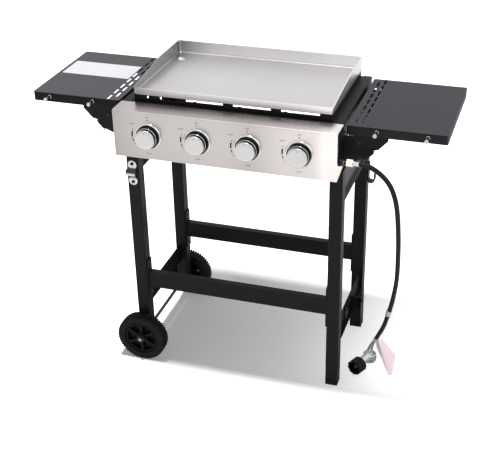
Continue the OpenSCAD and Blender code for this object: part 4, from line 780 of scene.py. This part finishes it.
for i, x in enumerate(knob_xs, 1):
    word(f"off_word_{i}", "OFF", x, 809.5)
    word(f"high_word_{i}", "HIGH", x - 45, 788)
    word(f"low_word_{i}", "LOW", x, 706.5)
    triangle = lathe(f"off_dot_{i}", [(0, 0.1), (2.6, 0.1), (2.6, -0.02), (0, -0.02)],
                     place(x, panel_front, 801.5), to_front, 3)
    dress(triangle, black_ink, "frame")
    for k, (a0, a1, w0, w1) in enumerate(((157, 160, 3.0, 3.0), (166, 186, 4.4, 3.8),
                                          (191, 203, 2.6, 2.0), (208, 216, 1.3, 0.8))):
        bar = arc_bar(f"flame_bar_{i}_{k + 1}", x, knob_z, a0, a1, w0, w1)
        dress(bar, black_ink, "frame")

# black plates at the panel's ends, in the darker coat with painted shade, each with a pressed boss
# round its screw
dress(nodes["panel_end_plates"], painted_shade_coat)
for side_name, sx in sides_of_cart:
    boss = lathe(f"panel_boss_{side_name}",
                 [(15, 0), (14.4, 1.2), (13, 1.9), (11.2, 1.7), (9.6, 0.7), (8.2, 0.5), (0, 0.5)],
                 place(sx * 307, -17, 802.5), (sx, 0, 0), 64)
    dress(boss, black_coat, "frame")

# Bezels and knobs
# Spun chrome rings on the panel. Each knob is black moulded plastic with a metal
# ring at its base and a satin metal face, and turns on its stem.
chrome = brushed_metal("chrome", (0.66, 0.66, 0.67), (0.74, 0.74, 0.75), (0.08, 0.16),
                       (30.0, 30.0, 30.0), 0.000006, 0.0)
satin = brushed_metal("knob_face_metal", (0.55, 0.54, 0.535), (0.66, 0.65, 0.64), (0.24, 0.34),
                      (9.0, 600.0, 600.0), 0.00001, 0.0)
knob_ring_metal = brushed_metal("knob_ring_metal", (0.34, 0.34, 0.34), (0.5, 0.5, 0.5), (0.2, 0.3),
                                (30.0, 30.0, 30.0), 0.000006, 0.0)
knob_black = coated("knob_black", (0.003, 0.003, 0.003), (0.006, 0.006, 0.006), (0.3, 0.4),
                    0.00002, 500.0, 0.12, 0.0)
dress(nodes["knob_bezels"], chrome)
for i, x in enumerate(knob_xs, 1):
    centre = place(x, panel_front, knob_z)
    bezel = lathe(f"bezel_{i}", [(38, 0), (38, 1.2), (37.2, 2.6), (35.8, 3.7), (34.6, 4.0),
                                 (33.4, 3.7), (33, 2.8), (33, 0)],
                  centre, to_front, 128, True)
    dress(bezel, chrome, "frame")
    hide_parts("knob_bezels")
    body = f"knob_body_{i}"
    flange = lathe(f"knob_flange_{i}",
                   [(3.2, 3.85), (31.0, 3.85), (31.5, 4.4), (31.5, 6.4), (31.0, 7.0),
                    (30.2, 7.3), (29.0, 7.6), (28.4, 7.6), (27.6, 7.4), (3.2, 7.4)],
                   centre, to_front, 96, True)
    dress(flange, knob_black, body)
    ring = lathe(f"knob_ring_{i}",
                 [(26.8, 11.0), (28.5, 11.0), (28.8, 11.6), (28.8, 12.8), (28.4, 13.6),
                  (27.6, 14.0), (26.8, 14.0)], centre, to_front, 96, True)
    dress(ring, knob_ring_metal, body)
    skirt = lathe(f"knob_skirt_{i}",
                  [(3.2, 7.4), (28.0, 7.4), (27.9, 9.0), (27.6, 12.0), (27.2, 20.0),
                   (27.0, 22.2), (26.6, 22.8), (3.2, 22.8)], centre, to_front, 96, True)
    dress(skirt, knob_black, body)
    cap = lathe(f"knob_face_{i}",
                [(27.0, 22.4), (27.2, 23.6), (26.8, 24.9), (25.6, 25.7), (24.2, 25.95),
                 (18, 25.85), (9, 25.75), (0, 25.7)], centre, to_front, 96)
    dress(cap, satin, body)
    mark = lathe(f"knob_mark_{i}", [(0, 25.6), (1.3, 25.6), (1.3, 25.98), (0, 25.98)],
                 centre + np.array([0, 0, 0.0185]), to_front, 20)
    dress(mark, grey_ink, body)
    dress(nodes[f"stem_{i}"], zinc)
    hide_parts(f"knob_{i}")

# Side shelves
# Trays folded from 1.2 mm sheet with two rows of slots near the firebox, coated in
# fine dark grey texture. Steel pegs with round heads stand out of their front rims.


def shelf_texture_with_painted_shade(name, low, high, side, rim_shade_share):
    """Fine texture coat with painted shade: grey on top and at the outer end, near black on the
    rims and inside, which are painted darker where less light falls. The normal's part along
    (side, 0, 1) tells them apart."""
    made = coated(name, low, high, (0.5, 0.6), 0.00012, 1100.0, 0.16, 0.0018)
    tree = made.node_tree
    skin = tree.nodes["Principled BSDF"]
    tint = skin.inputs["Base Color"].links[0].from_socket
    facing = tree.nodes.new("ShaderNodeNewGeometry")
    outward_part = node(tree, "ShaderNodeVectorMath", {"operation": "DOT_PRODUCT"})
    wire(tree, facing, "Normal", outward_part, 0)
    outward_part.inputs[1].default_value = (side, 0, 1)
    rim = ramp(tree, rim_shade_share, 1.0, (0.2, 0.7))
    wire(tree, outward_part, "Value", rim, "Fac")
    tree.links.new(blended(tree, "MULTIPLY", 1.0, tint, rim.outputs["Color"]),
                   skin.inputs["Base Color"])
    return made


# both shelves have one coat: the left one carries painted light, being lighter than the right, and
# deeper painted shade on its rims
shelf_coats = {"left": shelf_texture_with_painted_shade("left_shelf_texture", (0.070, 0.069, 0.079),
                                     (0.090, 0.089, 0.098), -1, 0.05),
               "right": shelf_texture_with_painted_shade("right_shelf_texture", (0.038, 0.037, 0.044),
                                      (0.050, 0.049, 0.057), 1, 0.34)}
peg_steel = brushed_metal("peg_steel", (0.48, 0.47, 0.45), (0.66, 0.65, 0.63), (0.16, 0.28),
                          (60.0, 60.0, 60.0), 0.00001, 0.0)
peg_z, hem_z = 812, 798
for side_name, sx in sides_of_cart:
    shelf_coat = shelf_coats[side_name]
    dress(nodes[side_name + "_shelf"], shelf_coat)
    dress(nodes[side_name + "_shelf_arms"], black_coat)
    dress(nodes[side_name + "_brackets"], black_coat)
    dress(nodes[side_name + "_pivots"], black_screw)
    dress(nodes[side_name + "_tool_pegs"], peg_steel)
    body = side_name + "_shelf_body"
    for k, x in enumerate((391, 520)):
        peg = lathe(f"{side_name}_peg_{k + 1}",
                    [(5.4, 0), (5.5, 1.2), (5.1, 2.0), (4.2, 2.2), (3.5, 2.6), (3.4, 21.5),
                     (3.8, 22.6), (5.0, 23.2), (5.5, 24.2), (5.5, 26.6), (5.1, 27.6), (4.0, 28),
                     (2.7, 27.8), (1.4, 26.9), (0, 26.6)], place(sx * x, 0, peg_z), to_front, 40)
        dress(peg, peg_steel, body)
        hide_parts(side_name + "_tool_pegs")
        neck = lathe(f"{side_name}_peg_sleeve_{k + 1}",
                     [(3.6, 2.4), (4.3, 3.0), (4.4, 11), (4.1, 12), (3.6, 12.2)],
                     place(sx * x, 0, peg_z), to_front, 40, True)
        dress(neck, cap_plastic, body)
    # hems turned in along the rims' lower edges
    for j, (a, b) in enumerate((((319, 2.2), (564, 2.2)), ((319, 336.8), (564, 336.8)),
                                ((567.8, 8), (567.8, 331)))):
        hem = tube(f"{side_name}_hem_{j + 1}",
                   np.linspace(place(sx * a[0], a[1], hem_z), place(sx * b[0], b[1], hem_z), 3),
                   0.001, 8)
        dress(hem, shelf_coat, body)
    # a rivet on each moving arm and on each fixed bracket
    for m, (y, s) in enumerate(((1.2, -1), (337.8, 1))):
        rivet = lathe(f"{side_name}_arm_rivet_{m + 1}",
                      [(5.2, 0), (5.0, 0.5), (3.6, 0.95), (1.6, 1.15), (0, 1.2)],
                      place(sx * 385, y, 800), (0, s, 0), 32)
        dress(rivet, black_screw, body)
    for m, (y, s) in enumerate(((4.0, -1), (335.0, 1))):
        rivet = lathe(f"{side_name}_bracket_rivet_{m + 1}",
                      [(4.4, 0), (4.2, 0.08), (3.0, 0.14), (0, 0.18)],
                      place(sx * 349, y, 733), (0, s, 0), 32)
        dress(rivet, black_screw, "frame")

# blank white plate stuck on the left shelf
dress(nodes["blank_plate"], smooth_film("white_plate", (0.80, 0.80, 0.84), (0.86, 0.86, 0.9),
                                        40.0, 3.0, 0.32))

# Bottle opener, hook and cradle
# A plated opener on the left leg; a bent hook and a curved guide on the right side
# keep a gas bottle in its place.


def opener_painted_light(tree, coords):
    """Painted highlight and shade on the plating: bright at both eyes and on the lip, dark under
    and on the hood between them.
    """
    between_eyes = along(tree, coords, "Z", [(0.590, 0.0), (0.598, 1.0), (0.6225, 1.0),
                                             (0.6275, 0.0)])
    behind_lip = along(tree, coords, "Y", [(-0.2183, 0.0), (-0.2165, 1.0)])
    dark = blended(tree, "MULTIPLY", 1.0, between_eyes.outputs["Color"],
                   behind_lip.outputs["Color"])
    opener_painted_shade = ramp(tree, 1.0, 0.10, (0.1, 0.9))
    tree.links.new(dark, opener_painted_shade.inputs["Fac"])
    return opener_painted_shade.outputs["Color"]


dress(nodes["bottle_opener"],
      brushed_metal("opener_plating", (0.50, 0.49, 0.48), (0.68, 0.67, 0.66), (0.14, 0.24),
                    (60.0, 60.0, 60.0), 0.00001, 0.0, opener_painted_light))
dress(nodes["bottle_hook"], black_coat)
dress(nodes["bottle_cradle"], black_coat)

# Gas inlet, nut and crimps
# A black inlet pipe with a plated flange, a pale brass union nut with chamfered
# corners, and ferrules crimped on the hose in rings.
dress(nodes["gas_inlet"], black_screw)
inlet_y, inlet_z = -35, 735
flange_x, nut_x, ferrule_x = 313.5, 323.5, 341.3
inlet_flange = lathe("inlet_flange", [(4.0, 0), (5.6, 0.2), (6.0, 1.0), (6.0, 4.6), (5.6, 5.4),
                                      (4.0, 5.6)], place(flange_x, inlet_y, inlet_z), to_right,
                     48, True)
dress(inlet_flange, chrome, "frame")
pale_brass = brushed_metal("pale_brass", (0.84, 0.79, 0.56), (0.95, 0.92, 0.74), (0.22, 0.34),
                           (90.0, 90.0, 90.0), 0.00003)


def hex_nut(name, start, length, across, bore, corner):
    """A hexagonal nut along +X: the profile's radius at each angle is the smaller of the
    hexagon's flat, across / (2 cos(angle to the nearest flat)), and a cone that chamfers
    the corners near both faces."""
    sides, chamfer, face = 72, 1.6, 1.0
    a = np.arange(sides) * 2 * np.pi / sides
    flat = across / 2 / np.cos((a + np.pi / 6) % (np.pi / 3) - np.pi / 6)
    steps = [(0, bore), (0, corner - chamfer), (face, corner), (length - face, corner),
             (length, corner - chamfer), (length, bore), (0, bore)]
    rings = [np.stack([np.full(sides, x), np.minimum(flat, r) * np.cos(a),
                       np.minimum(flat, r) * np.sin(a)], -1) for x, r in steps]
    points = start + mm * np.concatenate(rings)
    nut = new_piece(name, points, grid_faces(len(steps), sides, wrap_v=True))
    return sharpen(outward(nut), 30)


union_nut = hex_nut("union_nut", place(nut_x, inlet_y, inlet_z), 17.5, 19.0, 5.0, 10.6)
dress(union_nut, pale_brass, "frame")
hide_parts("hose_nut")
ferrule = [(5.5, 0)] + [(6.9 if k % 2 else 7.4, 0.6 + k * 1.8) for k in range(9)]
ferrule += [(5.5, 15.6)]
upper = lathe("upper_ferrule", ferrule, place(ferrule_x, inlet_y, inlet_z), to_right, 48, True)
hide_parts("hose_crimps")
dress(upper, chrome, "frame")
pale = coated("pale_sleeve", (0.52, 0.52, 0.51), (0.66, 0.66, 0.65), (0.3, 0.45), 0.0002, 300.0,
              0.5, 0.0)
foot_at = hose_path[-1]
lower = lathe("lower_ferrule", ferrule, foot_at + hose_end_way * 0.0003, hose_end_way, 48, True)
dress(lower, pale, "frame")
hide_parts("hose_crimps")
sleeve_step = 10 * hose_steps
sleeve_way = hose_path[sleeve_step + 2] - hose_path[sleeve_step - 2]
sleeve = lathe("pale_sleeve", [(6.9, -12), (8.1, -11.4), (8.5, -9), (8.5, -3), (7.9, -2.2),
                               (7.9, 2.2), (8.5, 3), (8.5, 9), (8.1, 11.4), (6.9, 12)],
               hose_path[sleeve_step], sleeve_way, 48, True)
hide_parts("hose_crimps")
dress(sleeve, pale, "frame")

# Regulator and coupling nut
# A die-cast disc in two halves rolled together, lying on the ground, with an elbow
# up to the hose and a black hand nut for the gas bottle.
cast = brushed_metal("cast_alloy", (0.30, 0.30, 0.31), (0.48, 0.48, 0.49), (0.42, 0.58),
                     (90.0, 90.0, 90.0), 0.00012)
dark_cast = brushed_metal("dark_cast_alloy", (0.16, 0.16, 0.165), (0.3, 0.3, 0.31),
                          (0.34, 0.5), (90.0, 90.0, 90.0), 0.00012)
dress(nodes["coupling_nut"], hub_plastic)
reg_centre = place(373, 140, 2)
disc = lathe("regulator_disc",
             [(0, 8.0), (15, 8.0), (18.4, 9.0), (19.4, 11.0), (19.4, 30.0), (19.0, 32.2),
              (17.6, 33.4), (15.4, 33.6), (14.4, 32.2), (12.4, 32.2), (11.4, 34.0), (9.6, 36.6),
              (6.0, 37.2), (0, 37.2)], reg_centre, straight_up, 96)
seam = lathe("regulator_seam", [(19.0, 19.4), (20.6, 20.0), (20.9, 21.0), (20.9, 23.0),
                                (20.6, 24.0), (19.0, 24.6)], reg_centre, straight_up, 96, True)
groove = lathe("regulator_cap_groove", [(12.3, 32.0), (14.5, 32.0), (14.5, 32.6), (12.3, 32.6)],
               reg_centre, straight_up, 96, True)
neck = tube("regulator_neck",
            metres([(373, 140, 24), (367, 131, 24), (361, 119, 24), (357.6, 108, 23.6),
                    (353.4, 96.8, 23)]), np.array([15.6, 14.6, 12.6, 11.4, 11.4]) * mm, 48)
elbow = tube("regulator_elbow",
             metres([(371, 144, 24), (369.4, 151, 30), (370.6, 159, 39), (373.4, 164.6, 49),
                     (377.4, 168.6, 57.4), (382.3, 170.9, 64)]),
             np.array([13.5, 11.0, 8.0, 6.0, 5.2, 5.2]) * mm, 40)
nose = tube("regulator_nose", metres([(355, 100.4, 23), (347, 83.4, 23), (343.4, 75.6, 23)]),
            np.array([8.4, 8.4, 5.2]) * mm, 32)
reg_pieces = [disc, seam, groove, neck, elbow, nose]
for piece, finish in zip(reg_pieces, (cast, dark_cast, dark_cast, cast, dark_cast, dark_zinc)):
    dress(piece, finish, "frame")
    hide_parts("regulator")
# a bare paper tag: a six-sided sheet that leans from the ground to a ring on the lower ferrule
paper = coated("paper_tag", (0.80, 0.63, 0.67), (0.88, 0.72, 0.76), (0.55, 0.65), 0.00001, 300.0,
               0.3, 0.0)
tag_foot = place(446, 91, 0)
tag_rise = place(393.6, 170.6, 64.7) - tag_foot
tag_rise /= np.linalg.norm(tag_rise)
tag_across = np.cross(tag_rise, straight_up)
tag_across *= -1 / np.linalg.norm(tag_across)
tag_face = np.cross(tag_across, tag_rise)
tag_corners = [(11, 116), (-10, 117), (-37, 60), (-6, 1.5), (4, 5), (13, 94)]
tag_points = [tag_foot + mm * (across * tag_across + rise * tag_rise + side * tag_face)
              for side in (-0.4, 0.4) for across, rise in tag_corners]
count = len(tag_corners)
tag_faces = grid_faces(2, count, wrap_v=True) + [list(range(count)), list(range(count, 2 * count))]
paper_tag = outward(new_piece("paper_tag", tag_points, tag_faces, False))
ring_at = foot_at + hose_end_way * 0.0108
tag_ring = lathe("tag_ring", [(7.3, -1.0), (9.0, -1.0), (9.0, 1.0), (7.3, 1.0)], ring_at,
                 hose_end_way, 40, True)
tag_strap = tube("tag_strap", np.stack([ring_at + np.array([0.0082, 0.001, -0.0022]),
                                        tag_foot + 0.112 * tag_rise]), 0.001, 12)
for piece in (paper_tag, tag_ring, tag_strap):
    dress(piece, paper, "frame")
    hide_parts("hose_tag")

# Floor, backdrop and light
# A pale seamless floor, soft suns overhead and at the right, lamps of the floor's own
# and an even white surround.
floor_for_cart, floor_in_steel, sky_for_cart = 0.47, 0.62, 0.22
reach = 9
floor = new_piece("floor", [(-reach, -reach, 0), (reach, -reach, 0), (reach, reach, 0),
                            (-reach, reach, 0)], [[0, 1, 2, 3]], False)
floor_paint = smooth_film("floor_paint", 0.93, 0.95, 3.0, 2.0, 0.9)
floor_tree = floor_paint.node_tree
floor_skin = floor_tree.nodes["Principled BSDF"]
floor_rays = node(floor_tree, "ShaderNodeLightPath")
# what the cart sees of the floor is duller than what the camera sees
duller = ramp(floor_tree, floor_for_cart, 1.0, (0.0, 1.0))
wire(floor_tree, floor_rays, "Is Camera Ray", duller, "Fac")
floor_shade = floor_skin.inputs["Base Color"].links[0].from_socket
floor_tree.links.new(blended(floor_tree, "MULTIPLY", 1.0, floor_shade, duller.outputs["Color"]),
                     floor_skin.inputs["Base Color"])
floor_skin.inputs["Specular IOR Level"].default_value = 0.0
# its glow grows to full white away from the cart
floor_far = node(floor_tree, "ShaderNodeVectorMath", {"operation": "DISTANCE"})
wire(floor_tree, floor_tree.nodes["Texture Coordinate"], "Object", floor_far, 0)
floor_far.inputs[1].default_value = (0, 0.1, 0)
floor_level = node(floor_tree, "ShaderNodeMapRange", From_Min=0.8, From_Max=1.2, To_Min=0.185,
                   To_Max=1.0)
wire(floor_tree, floor_far, "Value", floor_level, "Value")
floor_skin.inputs["Emission Color"].default_value = (1, 1, 1, 1)
# reflections in the steel see a little less of it
floor_less = node(floor_tree, "ShaderNodeMapRange", To_Min=1.0, To_Max=floor_in_steel)
wire(floor_tree, floor_rays, "Is Glossy Ray", floor_less, "Value")
floor_glow = node(floor_tree, "ShaderNodeMath", {"operation": "MULTIPLY"})
wire(floor_tree, floor_level, "Result", floor_glow, 0)
wire(floor_tree, floor_less, "Result", floor_glow, 1)
wire(floor_tree, floor_glow, 0, floor_skin, "Emission Strength")
floor.data.materials.append(floor_paint)

# the surround is white to the camera and in the steel, and dimmer for what it lights
world = bpy.data.worlds.new("surround")
bpy.context.scene.world = world
world.use_nodes = True
sky = world.node_tree
background = sky.nodes["Background"]
rays = node(sky, "ShaderNodeLightPath")
seen_ray = node(sky, "ShaderNodeMath", {"operation": "MAXIMUM"})
any_ray = node(sky, "ShaderNodeMath", {"operation": "MAXIMUM"})
wire(sky, rays, "Is Camera Ray", seen_ray, 0)
wire(sky, rays, "Is Transmission Ray", seen_ray, 1)
wire(sky, seen_ray, 0, any_ray, 0)
wire(sky, rays, "Is Glossy Ray", any_ray, 1)
strength = node(sky, "ShaderNodeMapRange", To_Min=sky_for_cart, To_Max=1.0)
wire(sky, any_ray, 0, strength, "Value")
wire(sky, strength, "Result", background, "Strength")
background.inputs["Color"].default_value = (1, 1, 1, 1)


def lamp(name, kind, energy, **settings):
    """A light in the scene with its settings, as an object at the origin."""
    light = bpy.data.lights.new(name, kind)
    light.energy = energy
    for key, value in settings.items():
        setattr(light, key, value)
    made = bpy.data.objects.new(name, light)
    bpy.context.scene.collection.objects.link(made)
    return made


def gathered(name, members, left_out):
    """A collection that light linking reads; where left out, all but its members count."""
    made = bpy.data.collections.new(name)
    for member in members:
        made.objects.link(member)
    for held in made.collection_objects:
        held.light_linking.link_state = "EXCLUDE" if left_out else "INCLUDE"
    return made


not_floor = gathered("not_on_floor", [floor], True)
overhead = lamp("overhead", "SUN", 2.25, angle=math.radians(8))
overhead.rotation_euler = (math.radians(2), math.radians(3.4), 0)
overhead.light_linking.receiver_collection = not_floor
# the shelves let the overhead light by, so that what hangs beneath them is lit
overhead.light_linking.blocker_collection = gathered(
    "let_light_by", [nodes[name] for name in ("left_shelf", "right_shelf", "blank_plate")], True)
side = lamp("side", "SUN", 0.7, angle=math.radians(50))
side.rotation_euler = (0, math.radians(55), 0)
side.light_linking.receiver_collection = not_floor
# the floor has lamps of its own: one high over the front left wheel, whose shadow of the cart
# widens towards the rear right, and two weak ones that lift that shadow at its right end
on_floor = gathered("on_floor", [floor], False)
floor_sun = lamp("over_floor", "AREA", 150, shape="DISK", size=0.26)
floor_sun.location = place(-320, -110, 2980)
floor_sun.light_linking.receiver_collection = on_floor
shading_nodes = ("firebox", "control_panel", "front_rail", "rear_rail", "leg_front_left",
                 "leg_front_right", "leg_rear_left", "leg_rear_right", "upper_side_left",
                 "upper_side_right", "lower_side_left", "lower_side_right", "front_wheel_hub",
                 "rear_wheel_hub", "wheel_axle", "griddle_plate_dressed", "front_lugged_tyre",
                 "rear_lugged_tyre")
floor_sun.light_linking.blocker_collection = gathered(
    "shaders_of_floor", [nodes[name] for name in shading_nodes], False)
for at in (place(500, 110, 250), place(520, 460, 260)):
    floor_fill = lamp("floor_fill", "POINT", 1.9, shadow_soft_size=0.05, use_shadow=False)
    floor_fill.location = at
    floor_fill.light_linking.receiver_collection = on_floor

bpy.context.scene.view_settings.view_transform = "Standard"
